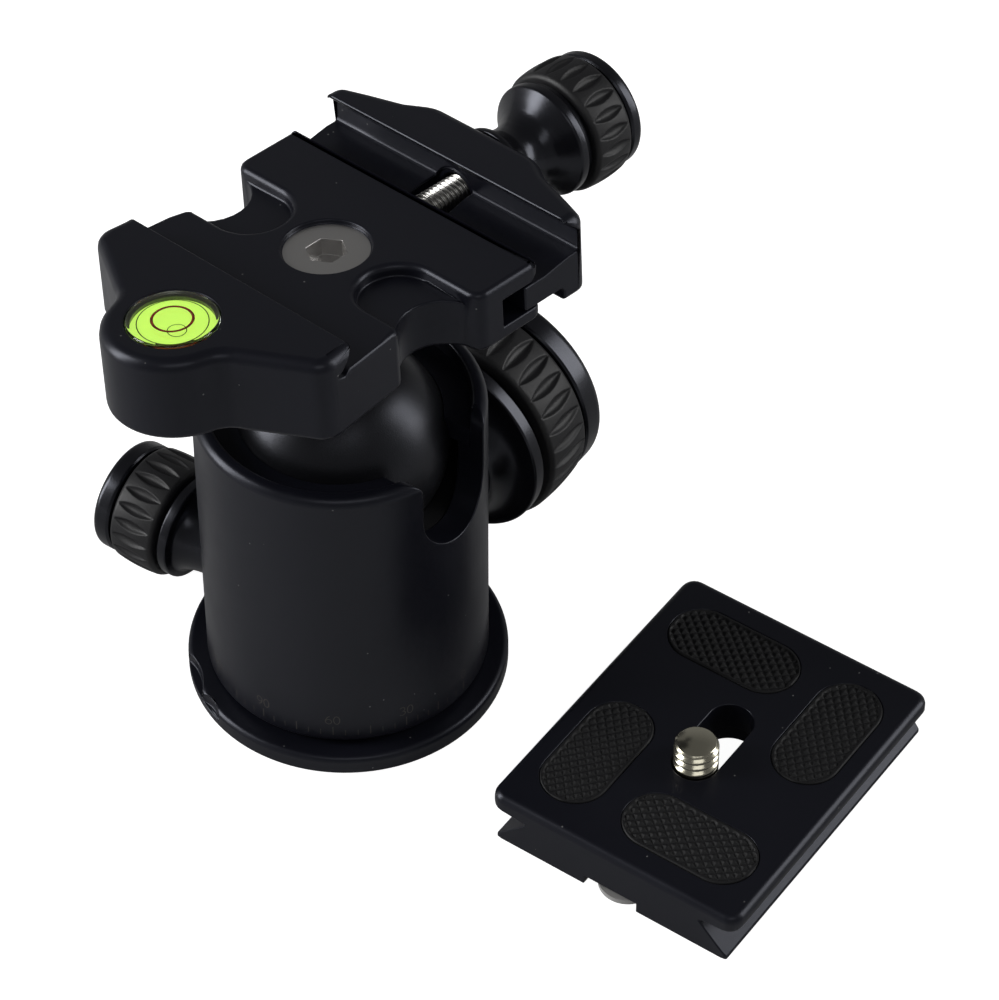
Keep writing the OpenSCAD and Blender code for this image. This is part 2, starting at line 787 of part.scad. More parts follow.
module level_cup() {
    color("#5a5c3a")
        level_frame()
            difference() {
                translate([0, 0, -level_h]) cylinder(h = level_h - lens_h, r = level_r);
                translate([0, 0, 0.6 - level_h]) cylinder(h = level_h, r = level_r - level_wall);
            }
}

module level_fluid() {
    color("#b8e000")
        level_frame()
            translate([0, 0, 0.6 - level_h])
                cylinder(h = level_h - lens_h - 0.6, r = level_r - level_wall);
}

module level_lens() {
    color("#e8f4d8", 0.5)
        level_frame()
            translate([0, 0, -lens_h])
                rotate_extrude()
                    polygon(concat(
                        [[0, 0], [level_r, 0]],
                        arc([level_r - 0.9, lens_h + lens_up - 0.9], 0.9, 0, 90, 5),
                        [[0, lens_h + lens_up]]));
}

// Outline of the moving jaw, with an outer face that draws in towards its ends
jaw_outline = concat(
    [[tongue_end - 3, -jaw_half]],
    arc([23.6, jaw_corner - jaw_half], jaw_corner, -90, -24, 4),
    [[26.5, -18.8], [28.1, -13.6]],
    arc([jaw_back - jaw_round, -jaw_flat], jaw_round, -28, 0, 4),
    arc([jaw_back - jaw_round, jaw_flat], jaw_round, 0, 28, 4),
    [[28.1, 13.6], [26.5, 18.8]],
    arc([23.6, jaw_half - jaw_corner], jaw_corner, 24, 90, 4),
    [[tongue_end - 3, jaw_half]]);

// What is open over, in front of and under the moving jaw's tongue
module jaw_profile() {
    tip_z = jaw_top - lip_tip;
    drop = 1.95;
    root = moving_lip_x + drop;
    polygon([
        [tongue_end - 6, jaw_top + 5], [moving_lip_x, jaw_top + 5], [moving_lip_x, tip_z],
        [root, tip_z - drop], [root, ledge_z + 0.4], [root - 0.4, ledge_z],
        [moving_lip_x, ledge_z], [17.5, tongue_z], [tongue_end, tongue_z],
        [tongue_end, slot_bottom + 0.25], [jaw_inner - 0.6, slot_bottom + 0.2],
        [jaw_inner, slot_bottom - 0.5], [jaw_inner, body_z0 - 3], [tongue_end - 6, body_z0 - 3]]);
}

module moving_jaw() {
    wide = jaw_half + 5;
    color("#1e1e20")
        clamp_frame()
            difference() {
                slab(jaw_outline, slab_levels(body_z0, jaw_top, 0.8, clamp_fillet));
                across_y(-wide, wide) jaw_profile();
                translate([floor_x - 0.1, 0, clamp_screw_z])
                    along_x() cylinder(h = moving_lip_x + 2.2 - floor_x, r = screw_notch_r);
                translate([tongue_end - 1, 0, clamp_screw_z])
                    along_x() cylinder(h = 30, r = clamp_screw_r + screw_clear);
                for (s = [-1, 1])
                    translate([tongue_end - 1, s * guide_pin_y, guide_pin_z])
                        along_x() cylinder(h = 6, r = guide_pin_r);
            }
}

module guide_pins() {
    color("silver")
        clamp_frame()
            for (s = [-1, 1])
                translate([slot_x - 3.8, s * guide_pin_y, guide_pin_z])
                    along_x() cylinder(h = tongue_end + 8.8 - slot_x, r = guide_pin_r);
}

module jaw_springs() {
    color("silver")
        clamp_frame()
            for (s = [-1, 1])
                translate([slot_x + eps, s * guide_pin_y, guide_pin_z])
                    along_x() coil(tongue_end - slot_x - 2 * eps, guide_pin_r + 0.55, 0.22, 4);
}

// ------------------------------------------------------------- clamp knob

module clamp_hub() {
    x0 = clamp_hub_x;
    x1 = clamp_ring_x;
    color("#1a1a1c")
        clamp_screw_frame()
            rotate_extrude()
                polygon([
                    [clamp_screw_r, x0], [5.9, x0], [6.2, x0 + 0.3], [6.1, x0 + 1],
                    [5.2, x0 + 2], [4.7, x0 + 3.2], [4.6, x0 + 4.6], [4.9, x1 - 3.6],
                    [5.6, x1 - 2.4], [6.6, x1 - 1.4], [clamp_ring_r - 0.5, x1 - 0.4],
                    [clamp_ring_r, x1], [clamp_ring_r, clamp_ring_x2 - 0.4],
                    [clamp_ring_r - 0.3, clamp_ring_x2], [clamp_core_r, clamp_ring_x2],
                    [clamp_core_r, clamp_cap_x], [clamp_screw_r, clamp_cap_x]]);
}

module clamp_grip() {
    color("#2e2e30")
        clamp_screw_frame()
            knob_grip(clamp_grip_x, clamp_grip_l, clamp_grip_r, clamp_core_r, clamp_dimples);
}

module clamp_cap() {
    color("#161618") clamp_screw_frame() knob_cap(clamp_cap_x, clamp_end_x, clamp_cap_r, 1);
}

module clamp_screw() {
    color("silver")
        clamp_screw_frame()
            translate([0, 0, screw_tip_x])
                cylinder(h = clamp_cap_x - screw_tip_x, r = clamp_screw_r);
}

// ------------------------------------------------------------------ plate

function plate_outline() =
    let (x = plate_l / 2 - plate_corner, y = plate_w / 2 - plate_corner, r = plate_corner)
    concat(arc([x, -y], r, -90, 0, 5), arc([x, y], r, 0, 90, 5),
           arc([-x, y], r, 90, 180, 5), arc([-x, -y], r, 180, 270, 5));

// One side's groove between the dovetail's flange and the slab's edge
module plate_groove() {
    out = plate_w;
    rotate([90, 0, 90])
        linear_extrude(plate_l + 10, center = true)
            polygon([
                [plate_flange, -1], [plate_flange, flange_h],
                [apex_y + 0.3, apex_z - 0.3], [apex_y + 0.3, apex_z + 0.1],
                [plate_w / 2 - 0.5, slab_edge_z - 0.2], [plate_w / 2 + 0.1, slab_edge_z + 0.4],
                [out, slab_edge_z + 0.4], [out, -1]]);
}

// A bar with round ends, of overall length l and width w
module stadium(l, w, h) {
    translate([-(l - w) / 2, -w / 2, 0]) cube([l - w, w, h]);
    for (s = [-1, 1]) translate([s * (l - w) / 2, 0, 0]) cylinder(h = h, d = w);
}

// The four pads, each at right angles to the next
module pad_places() {
    for (s = [-1, 1]) {
        translate([s * 16.1, s * 6.9, 0]) rotate([0, 0, 90]) children();
        translate([-s * 10.6, s * 12.1, 0]) children();
    }
}

module plate_body() {
    recess_x0 = -plate_l / 2 - 1;
    color("#1e1e20")
        plate_frame()
            difference() {
                slab(plate_outline(), slab_levels(0, plate_h, 0.1, plate_fillet));
                plate_groove();
                mirror([0, 1, 0]) plate_groove();
                translate([0.15, 0, -1]) stadium(slot_l, 2 * slot_r, plate_h + 2);
                translate([0.15, 0, -1])
                    stadium(slot_l + channel_w - 2 * slot_r + 0.4, channel_w, recess_h + 1);
                translate([recess_x0, -channel_w / 2, -1])
                    cube([plate_l / 2 + 1, channel_w, channel_h + 1]);
                pad_places() translate([0, 0, plate_h - pad_depth]) stadium(pad_l, pad_w, 2);
            }
}

module plate_pads() {
    color("#2c2c2e")
        plate_frame()
            pad_places()
                translate([0, 0, plate_h - pad_depth])
                    stadium(pad_l - 0.1, pad_w - 0.1, pad_depth + pad_proud);
}

module screw_frame() { plate_frame() translate([screw_x, 0, 0]) children(); }

module screw_washer() {
    color("white")
        screw_frame()
            translate([0, 0, washer_z])
                difference() {
                    cylinder(h = washer_h, r = head_r);
                    translate([0, 0, -1]) cylinder(h = 3, r = neck_r + run_gap);
                }
}

module camera_screw() {
    thread_z = plate_h + neck_up;
    thread_end = plate_h + camera_screw_up - thread_bevel;
    color("#d8d2b8")
        screw_frame()
            difference() {
                union() {
                    translate([0, 0, head_z0]) cylinder(h = head_z1 - head_z0, r = head_r);
                    translate([0, 0, head_z0]) cylinder(h = thread_end - head_z0, r = neck_r);
                    translate([0, 0, thread_z]) cylinder(h = thread_end - thread_z, r = camera_screw_r);
                    translate([0, 0, thread_end])
                        cylinder(h = thread_bevel, r1 = camera_screw_r, r2 = camera_screw_r - thread_bevel);
                    translate([pivot_x - 0.9, -lug_w / 2, -plate_lift + 0.1])
                        cube([4.4, lug_w, head_z0 + plate_lift]);
                }
                translate([pivot_x, 0, pivot_z])
                    along_y() cylinder(h = 20, r = pivot_r + 2 * run_gap, center = true);
            }
}

// Flat folding ring: two arms beside the screw's lug and a round end
module screw_ring() {
    inner = ring_w - 2 * ring_bar;
    reach = ring_reach - ring_w / 2;
    color("silver")
        screw_frame()
            translate([0, 0, -plate_lift])
                difference() {
                    union() {
                        translate([-reach, -ring_w / 2, 0]) cube([reach + pivot_x + 0.9, ring_w, ring_h]);
                        translate([-reach, 0, 0]) cylinder(h = ring_h, r = ring_w / 2);
                    }
                    translate([-reach, -inner / 2, -1]) cube([reach + 10, inner, ring_h + 2]);
                    translate([-reach, 0, -1]) cylinder(h = ring_h + 2, r = inner / 2);
                    translate([pivot_x, 0, ring_h / 2])
                        along_y() cylinder(h = 20, r = pivot_r + run_gap, center = true);
                }
}

module ring_pin() {
    color("gray")
        screw_frame()
            translate([pivot_x, 0, pivot_z]) along_y() cylinder(h = ring_w - 0.4, r = pivot_r, center = true);
}

base_disc();
pan_spindle();
tripod_insert();
pan_washer();
spindle_clip();
housing();
seat_ring();
main_bush();
lower_seat();
lock_wedge();
wedge_spring();
main_hub();
main_grip();
main_cap();
main_screw();
pan_shoe();
pan_hub();
pan_grip();
pan_cap();
pan_screw();
ball();
stem();
clamp_body();
center_screw();
locating_pins();
level_cup();
level_fluid();
level_lens();
moving_jaw();
guide_pins();
jaw_springs();
clamp_hub();
clamp_grip();
clamp_cap();
clamp_screw();
plate_body();
plate_pads();
screw_washer();
camera_screw();
screw_ring();
ring_pin();
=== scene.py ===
"""Looks of the tripod ball head: finishes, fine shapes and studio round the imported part."""

import logging
import math
from dataclasses import dataclass, field
from enum import Enum
from typing import Callable, Iterable, Sequence

import bmesh
import bpy
import numpy as np
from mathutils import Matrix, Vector


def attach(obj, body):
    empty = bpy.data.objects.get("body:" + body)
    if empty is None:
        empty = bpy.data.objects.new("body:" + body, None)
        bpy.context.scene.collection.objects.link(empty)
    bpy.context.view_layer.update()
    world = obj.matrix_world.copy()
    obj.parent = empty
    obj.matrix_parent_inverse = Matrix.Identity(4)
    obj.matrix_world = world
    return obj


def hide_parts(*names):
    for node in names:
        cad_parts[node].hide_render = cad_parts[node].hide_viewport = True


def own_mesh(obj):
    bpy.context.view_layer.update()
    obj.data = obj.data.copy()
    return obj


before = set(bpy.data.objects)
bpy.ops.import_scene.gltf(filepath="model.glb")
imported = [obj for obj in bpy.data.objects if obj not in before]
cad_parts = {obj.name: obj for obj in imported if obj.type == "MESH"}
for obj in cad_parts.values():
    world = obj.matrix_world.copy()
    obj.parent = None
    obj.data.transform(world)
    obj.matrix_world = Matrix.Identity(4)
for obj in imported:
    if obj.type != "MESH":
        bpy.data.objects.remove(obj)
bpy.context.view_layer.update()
LOG = logging.getLogger("ball_head")
MM = 0.001
Array = np.ndarray
Point = tuple[float, float]
Triple = tuple[float, float, float]
EdgeTest = Callable[[Array, Array], bool]


# ---------------------------------------------------------------- finishes


class Grain(Enum):
    """How a finish breaks up at close range."""

    FINE = "fine"
    TURNED = "turned"
    NONE = "none"


@dataclass(frozen=True)
class Surface:
    """What every finish has: its name, its colour, its roughness and the nodes that it uses."""

    name: str
    colour: Triple
    roughness: float

    def material(self) -> bpy.types.Material:
        """Builds the material, or returns it where it is already there.

        Returns:
            The finish's material.
        """
        found = bpy.data.materials.get(f"finish_{self.name}")
        if found:
            return found
        mat = bpy.data.materials.new(f"finish_{self.name}")
        mat.use_nodes = True
        shader = mat.node_tree.nodes["Principled BSDF"]
        shader.inputs["Base Color"].default_value = (*self.colour, 1.0)
        shader.inputs["Roughness"].default_value = self.roughness
        self.fill(mat, shader)
        return mat

    def fill(self, mat: bpy.types.Material, shader: bpy.types.Node) -> None:
        """Adds what one kind of finish has.

        Args:
            mat: Material that takes the nodes.
            shader: Its principled shader.
        """
        raise NotImplementedError

    def _noise(self, mat: bpy.types.Material, size: float, detail: float) -> bpy.types.Node:
        """Adds a noise of one size.

        Args:
            mat: Material that takes the node.
            size: Size of the grain in millimetres.
            detail: Levels of detail.

        Returns:
            The noise node.
        """
        coords = mat.node_tree.nodes.new("ShaderNodeTexCoord")
        noise = mat.node_tree.nodes.new("ShaderNodeTexNoise")
        noise.inputs["Scale"].default_value = 1.0 / (size * MM)
        noise.inputs["Detail"].default_value = detail
        mat.node_tree.links.new(coords.outputs["Object"], noise.inputs["Vector"])
        return noise

    def _bump(self, mat: bpy.types.Material, noise: bpy.types.Node, strength: float,
              depth: float = 0.05) -> None:
        """Lets a noise bump the surface.

        Args:
            mat: Material that takes the bump.
            noise: Noise that gives its height.
            strength: Strength of the bump.
            depth: Height of the bump in millimetres.
        """
        shader = mat.node_tree.nodes["Principled BSDF"]
        bump = mat.node_tree.nodes.new("ShaderNodeBump")
        bump.inputs["Strength"].default_value = strength
        bump.inputs["Distance"].default_value = depth * MM
        mat.node_tree.links.new(noise.outputs["Fac"], bump.inputs["Height"])
        mat.node_tree.links.new(bump.outputs["Normal"], shader.inputs["Normal"])


@dataclass(frozen=True)
class Finish(Surface):
    """A metal or rubber finish: clouded roughness, fine grain and, on some, specks of dust."""

    metallic: float = 0.0
    specular: float = 0.5
    grain: Grain = Grain.FINE
    grain_size: float = 0.25
    cloud_size: float = 6.0
    bump: float = 0.1
    mottle: float = 0.06
    dust: float = 0.0
    speck_cell: float = 3.4
    speck_reach: float = 0.035
    tint: Triple = (1.0, 1.0, 1.0)

    def fill(self, mat: bpy.types.Material, shader: bpy.types.Node) -> None:
        """Adds gloss, clouds, grain and dust.

        Args:
            mat: Material that takes the nodes.
            shader: Its principled shader.
        """
        shader.inputs["Metallic"].default_value = self.metallic
        shader.inputs["Specular IOR Level"].default_value = self.specular
        shader.inputs["Specular Tint"].default_value = (*self.tint, 1.0)
        if self.grain is Grain.NONE:
            return
        nodes, links = mat.node_tree.nodes, mat.node_tree.links
        clouds = self._noise(mat, self.cloud_size, 4.0)
        rough = nodes.new("ShaderNodeMapRange")
        rough.inputs["To Min"].default_value = self.roughness - self.mottle
        rough.inputs["To Max"].default_value = self.roughness + self.mottle
        links.new(clouds.outputs["Fac"], rough.inputs["Value"])
        links.new(rough.outputs["Result"], shader.inputs["Roughness"])
        detail = 1.0 if self.grain is Grain.TURNED else 3.0
        self._bump(mat, self._noise(mat, self.grain_size, detail), self.bump)
        if self.dust:
            self._specks(mat, shader)

    def _specks(self, mat: bpy.types.Material, shader: bpy.types.Node) -> None:
        """Scatters a few pale specks of dust: the middles of sparse cells.

        Args:
            mat: Material that takes the specks.
            shader: Principled shader whose colour they change.
        """
        nodes, links = mat.node_tree.nodes, mat.node_tree.links
        coords = nodes.new("ShaderNodeTexCoord")
        cells = nodes.new("ShaderNodeTexVoronoi")
        cells.inputs["Scale"].default_value = 1.0 / (self.speck_cell * MM)
        links.new(coords.outputs["Object"], cells.inputs["Vector"])
        near = nodes.new("ShaderNodeMath")
        near.operation = "LESS_THAN"
        near.inputs[1].default_value = self.speck_reach
        links.new(cells.outputs["Distance"], near.inputs[0])
        mix = nodes.new("ShaderNodeMix")
        mix.data_type = "RGBA"
        mix.inputs["A"].default_value = (*self.colour, 1.0)
        mix.inputs["B"].default_value = (self.dust, self.dust, self.dust, 1.0)
        links.new(near.outputs["Value"], mix.inputs["Factor"])
        links.new(mix.outputs["Result"], shader.inputs["Base Color"])


@dataclass(frozen=True)
class ClearFinish(Surface):
    """Clear or tinted plastic that light passes through, with a faint waviness. The fluid's
    emission is painted light: a glow, though it is no lamp.
    """

    ior: float = 1.49
    glow: Triple | None = None
    through: float = 1.0
    wave_size: float = 2.5
    wave_bump: float = 0.05

    def fill(self, mat: bpy.types.Material, shader: bpy.types.Node) -> None:
        """Adds the way light passes, the painted glow and the waves.

        Args:
            mat: Material that takes the nodes.
            shader: Its principled shader.
        """
        shader.inputs["IOR"].default_value = self.ior
        shader.inputs["Transmission Weight"].default_value = self.through
        # Painted light: the emission makes the piece glow, though it is no lamp.
        if self.glow:
            shader.inputs["Emission Color"].default_value = (*self.glow, 1.0)
            shader.inputs["Emission Strength"].default_value = 1.0
        self._bump(mat, self._noise(mat, self.wave_size, 2.0), self.wave_bump)


COOL = (0.84, 0.87, 1.0)
BLACK_METAL = Finish("black_metal", (0.0056, 0.0059, 0.0098), 0.34, specular=0.4, dust=0.16,
                     tint=COOL)
BALL_BLACK = Finish("ball_black", (0.006, 0.006, 0.0072), 0.34, specular=0.45, bump=0.35,
                    grain_size=0.18, tint=COOL)
STEM_BLACK = Finish("stem_black", (0.005, 0.005, 0.006), 0.3, specular=0.4, grain=Grain.TURNED,
                    tint=COOL)
KNOB_METAL = Finish("knob_metal", (0.005, 0.005, 0.0065), 0.25, grain=Grain.TURNED, tint=COOL)
GRIP_RUBBER = Finish("grip_rubber", (0.013, 0.013, 0.0145), 0.46, specular=0.4, bump=0.5,
                     mottle=0.1)
PAD_RUBBER = Finish("pad_rubber", (0.009, 0.009, 0.010), 0.55, specular=0.32, bump=0.4,
                    mottle=0.1)
BRIGHT_STEEL = Finish("bright_steel", (0.50, 0.49, 0.47), 0.24, metallic=1.0)
HEAD_STEEL = Finish("head_steel", (0.52, 0.51, 0.5), 0.34, metallic=0.92)
SCREW_NICKEL = Finish("screw_nickel", (0.62, 0.59, 0.47), 0.2, metallic=1.0)
RING_STEEL = Finish("ring_steel", (0.6, 0.59, 0.58), 0.5, metallic=0.5)
DARK_STEEL = Finish("dark_steel", (0.08, 0.08, 0.085), 0.4, metallic=0.9)
BRASS = Finish("brass", (0.60, 0.44, 0.2), 0.35, metallic=1.0)
SEAT_BLACK = Finish("seat_black", (0.008, 0.008, 0.009), 0.45, specular=0.3)
SCALE_GREY = Finish("scale_grey", (0.055, 0.05, 0.047), 0.55, mottle=0.1)
LEVEL_BODY = Finish("level_body", (0.055, 0.06, 0.02), 0.3, bump=0.05)
LEVEL_MARK = Finish("level_mark", (0.42, 0.03, 0.004), 0.4, grain=Grain.NONE)
# Painted shade: dark rings drawn at the bubble's rim and the fluid's rim, where only shade falls.
RIM_SHADE = Finish("bubble_edge", (0.09, 0.13, 0.012), 0.3, grain=Grain.NONE)
FLOOR_WHITE = Finish("floor_white", (0.62, 0.62, 0.62), 0.9, specular=0.1, bump=0.02, mottle=0.02)
CLEAR = ClearFinish("level_clear", (0.93, 0.97, 0.88), 0.02)
# Painted glow: the fluid's emission brightens it, though it is no lamp.
FLUID = ClearFinish("level_fluid", (0.3, 0.55, 0.02), 0.15, ior=1.36, glow=(0.62, 0.95, 0.15),
                    through=0.0)


# ------------------------------------------------------------------ places


class Axis(Enum):
    """Axis of a plain turn."""

    Y = "y"
    Z = "z"


def turn(axis: Axis, degrees: float) -> Array:
    """Rotation matrix about Y or Z.

    Args:
        axis: Axis of the turn.
        degrees: Angle.

    Returns:
        The 3 by 3 matrix.
    """
    c, s = math.cos(math.radians(degrees)), math.sin(math.radians(degrees))
    if axis is Axis.Z:
        return np.array([[c, -s, 0], [s, c, 0], [0, 0, 1.0]])
    return np.array([[c, 0, s], [0, 1.0, 0], [-s, 0, c]])


@dataclass(frozen=True, eq=False)
class Place:
    """A frame in the part: its axes as columns and its origin, in millimetres."""

    axes: Array
    origin: Array

    def at(self, points: Array | Sequence[float]) -> Array:
        """Moves points of this frame to the row frame.

        Args:
            points: Points in millimetres, in an array whose last axis is 3 long.

        Returns:
            The points in metres.
        """
        return (np.asarray(points, float) @ self.axes.T + self.origin) * MM

    def inside(self, points: Array) -> Array:
        """Points of the row frame, in metres, as millimetres of this frame."""
        return (np.asarray(points, float) / MM - self.origin) @ self.axes

    def shifted(self, offset: Sequence[float], axes: Array | None = None) -> "Place":
        """A frame that stands in this one.

        Args:
            offset: Its origin in this frame.
            axes: Its axes in this frame, or None where they are the same.

        Returns:
            The new frame.
        """
        inner = np.eye(3) if axes is None else axes
        return Place(self.axes @ inner, self.origin + self.axes @ np.asarray(offset, float))


ALONG_X = np.array([[0, 0, 1.0], [0, 1.0, 0], [-1.0, 0, 0]])
ALONG_Y = np.array([[1.0, 0, 0], [0, 0, 1.0], [0, -1.0, 0]])
# The stem leans by LEAN degrees towards LEAN_SIDE, and is turned about itself by STEM_TWIST.
LEAN, LEAN_SIDE, STEM_TWIST = 7.23, 51.57, -9.9
ROW = Place(np.eye(3), np.zeros(3))
STEM = Place(turn(Axis.Z, LEAN_SIDE) @ turn(Axis.Y, LEAN) @ turn(Axis.Z, STEM_TWIST - LEAN_SIDE),
             np.array([0, 0, 44.0]))
CLAMP = STEM.shifted((0, 0, 31.6))
CLAMP_SCREW = CLAMP.shifted((0, 0, -3.3), ALONG_X)
MAIN = ROW.shifted((0, 0, 23.3), ALONG_X)
PAN = ROW.shifted((0, 0, 10.4), ALONG_Y)
PLATE = Place(turn(Axis.Z, -0.68), np.array([8.2, -56.5, 0.92]))
CAMERA_SCREW = PLATE.shifted((-4.2, 0, 0))
LEVEL = CLAMP.shifted((-27.1, 0, 3.76))


# -------------------------------------------------------------- mesh tools


def rounded(points: Sequence[Point], radii: Sequence[float], steps: int = 6) -> Array:
    """A profile whose corners are drawn as short curves.

    Each curve is a quadratic one, from a point before the corner to a point after it.

    Args:
        points: Corners, as radius and distance along the axis.
        radii: How far each corner's curve reaches along its two sides.
        steps: Points on each curve, less one.

    Returns:
        The points of the profile.
    """
    corners = np.asarray(points, float)
    out: list[Array] = []
    for i, (corner, reach) in enumerate(zip(corners, radii)):
        if reach == 0 or i in (0, len(corners) - 1):
            out.append(corner[None])
            continue
        before, after = corners[i - 1] - corner, corners[i + 1] - corner
        far_a, far_b = np.linalg.norm(before), np.linalg.norm(after)
        a = corner + before / far_a * min(reach, far_a * 0.49)
        b = corner + after / far_b * min(reach, far_b * 0.49)
        t = np.linspace(0, 1, steps + 1)[:, None]
        out.append((1 - t) ** 2 * a + 2 * t * (1 - t) * corner + t ** 2 * b)
    return np.concatenate(out)


def swell(start: Point, reach: Point, count: int) -> Array:
    """A quarter of an ellipse that leaves the axis' direction and ends square to it.

    The radius grows by the reach times 1 - cos a, the distance by the reach times sin a.

    Args:
        start: Radius and distance where it starts.
        reach: How far it goes outward and along the axis.
        count: Number of points.

    Returns:
        Its points as radius and distance along the axis.
    """
    rise = np.radians(np.linspace(0, 90, count))
    return np.stack([start[0] + reach[0] * (1 - np.cos(rise)),
                     start[1] + reach[1] * np.sin(rise)], -1)


def about(radius: Array | float, angle: Array, along: Array | float) -> Array:
    """Points about a frame's third axis: r cos a, r sin a, and the distance along it.

    Args:
        radius: Distance from the axis.
        angle: Angle about the axis in radians.
        along: Distance along the axis.

    Returns:
        The points, with x, y and z in the last axis of the array.
    """
    return np.stack(np.broadcast_arrays(radius * np.cos(angle), radius * np.sin(angle), along), -1)


def steps_round(count: int) -> Array:
    """Angles that divide a full turn evenly, as a column."""
    return np.linspace(0, 2 * np.pi, count, endpoint=False)[:, None]


def lattice(rows: int, columns: int, close_rows: bool = False,
            close_columns: bool = False) -> Array:
    """Quads over a grid of points.

    Args:
        rows: Points along the first axis.
        columns: Points along the second axis.
        close_rows: Whether the first axis runs round to its start.
        close_columns: Whether the second axis does.

    Returns:
        The quads as rows of four point numbers.
    """
    i = np.arange(rows if close_rows else rows - 1)[:, None]
    j = np.arange(columns if close_columns else columns - 1)[None, :]
    i1, j1 = (i + 1) % rows, (j + 1) % columns
    quads = [i * columns + j, i1 * columns + j, i1 * columns + j1, i * columns + j1]
    return np.stack(np.broadcast_arrays(*quads), -1).reshape(-1, 4)


def place_mesh(mesh: bpy.types.Mesh, form: bmesh.types.BMesh, name: str,
               finish: Surface) -> bpy.types.Object:
    """Writes a worked form to its mesh, smooth, in one finish, as an object of the scene.

    Args:
        mesh: Mesh that takes the form.
        form: The form, which is freed.
        name: Name of the piece.
        finish: The piece's finish.

    Returns:
        The new object.
    """
    for face in form.faces:
        face.smooth = True
    form.to_mesh(mesh)
    form.free()
    mesh.materials.clear()
    mesh.materials.append(finish.material())
    piece = bpy.data.objects.new(name, mesh)
    bpy.context.scene.collection.objects.link(piece)
    return piece


def bake(name: str, points: Array, faces: Array | Iterable[Sequence[int]],
         finish: Surface) -> bpy.types.Object:
    """Makes an object of points and faces, welded, with its faces turned outward.

    Args:
        name: Name of the piece.
        points: Points in metres.
        faces: Faces as point numbers.
        finish: The piece's finish.

    Returns:
        The new object.
    """
    mesh = bpy.data.meshes.new(name)
    mesh.from_pydata(np.asarray(points, float).reshape(-1, 3).tolist(), [],
                     np.asarray(faces).tolist())
    form = bmesh.new()
    form.from_mesh(mesh)
    bmesh.ops.remove_doubles(form, verts=form.verts, dist=1e-7)
    bmesh.ops.recalc_face_normals(form, faces=form.faces)
    return place_mesh(mesh, form, name, finish)


def even(piece: bpy.types.Object) -> bpy.types.Object:
    """Weights a piece's normals by its faces, so that flats stay flat beside small rounds."""
    piece.modifiers.new("even", "WEIGHTED_NORMAL").keep_sharp = True
    return piece


def revolve(name: str, place: Place, profile: Array, finish: Surface,
            segments: int = 160) -> bpy.types.Object:
    """Turns a profile about a frame's third axis.

    Args:
        name: Name of the piece.
        place: Frame of the axis.
        profile: Points as radius and distance along the axis.
        finish: The piece's finish.
        segments: Steps round the axis.

    Returns:
        The turned piece.
    """
    points = about(profile[:, 0][None], steps_round(segments), profile[:, 1][None])
    faces = lattice(segments, len(profile), close_rows=True)
    return even(bake(name, place.at(points), faces, finish))


def stand_for(piece: bpy.types.Object, body: str, slot: str, *nodes: str) -> bpy.types.Object:
    """Puts a piece on its body, in place of CAD nodes, which it hides.

    Args:
        piece: The new piece.
        body: CAD body that it rides on.
        slot: The record's material slot; not used.
        nodes: CAD nodes that it stands for.

    Returns:
        The same piece.
    """
    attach(piece, body)
    if nodes:
        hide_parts(*nodes)
    LOG.info("built %s for %s", piece.name, ", ".join(nodes) or body)
    return piece


def dress(nodes: dict[str, Surface]) -> None:
    """Gives CAD nodes their finishes.

    Args:
        nodes: Node names with the finish of each.
    """
    for name, finish in nodes.items():
        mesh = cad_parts[name].data
        mesh.materials.clear()
        mesh.materials.append(finish.material())
        LOG.info("dressed %s in %s", name, finish.name)


WELD = 2e-6
FLAT_ANGLE = math.radians(1.0)
SHARP_ANGLE = math.radians(32)


def refine(node: str, name: str, finish: Surface, width: float, soft: float = 0.0,
           soft_where: EdgeTest | None = None) -> bpy.types.Object:
    """Copies a CAD node, welds it, merges its flat triangles and rounds its sharp edges.

    Args:
        node: CAD node to copy.
        name: Name of the piece.
        finish: The piece's finish.
        width: Width of the rounding in millimetres.
        soft: Width of the wider rounding, or 0 for none.
        soft_where: Says, for an edge's two ends in metres, whether it takes the wider one.

    Returns:
        The rounded copy.
    """
    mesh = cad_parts[node].data.copy()
    form = bmesh.new()
    form.from_mesh(mesh)
    bmesh.ops.remove_doubles(form, verts=form.verts, dist=WELD)
    bmesh.ops.dissolve_limit(form, angle_limit=FLAT_ANGLE, verts=form.verts, edges=form.edges)
    weights = form.edges.layers.float.new("bevel_weight_edge")
    widest = max(width, soft)
    for edge in form.edges:
        if len(edge.link_faces) != 2 or edge.calc_face_angle(0.0) < SHARP_ANGLE:
            continue
        wide = soft_where is not None and soft_where(*(np.array(v.co) for v in edge.verts))
        edge[weights] = 1.0 if wide else width / widest
    piece = place_mesh(mesh, form, name, finish)
    bevel = piece.modifiers.new("round", "BEVEL")
    bevel.limit_method = "WEIGHT"
    bevel.width = widest * MM
    bevel.segments = 3
    bevel.use_clamp_overlap = False
    bevel.harden_normals = False
    return even(piece)


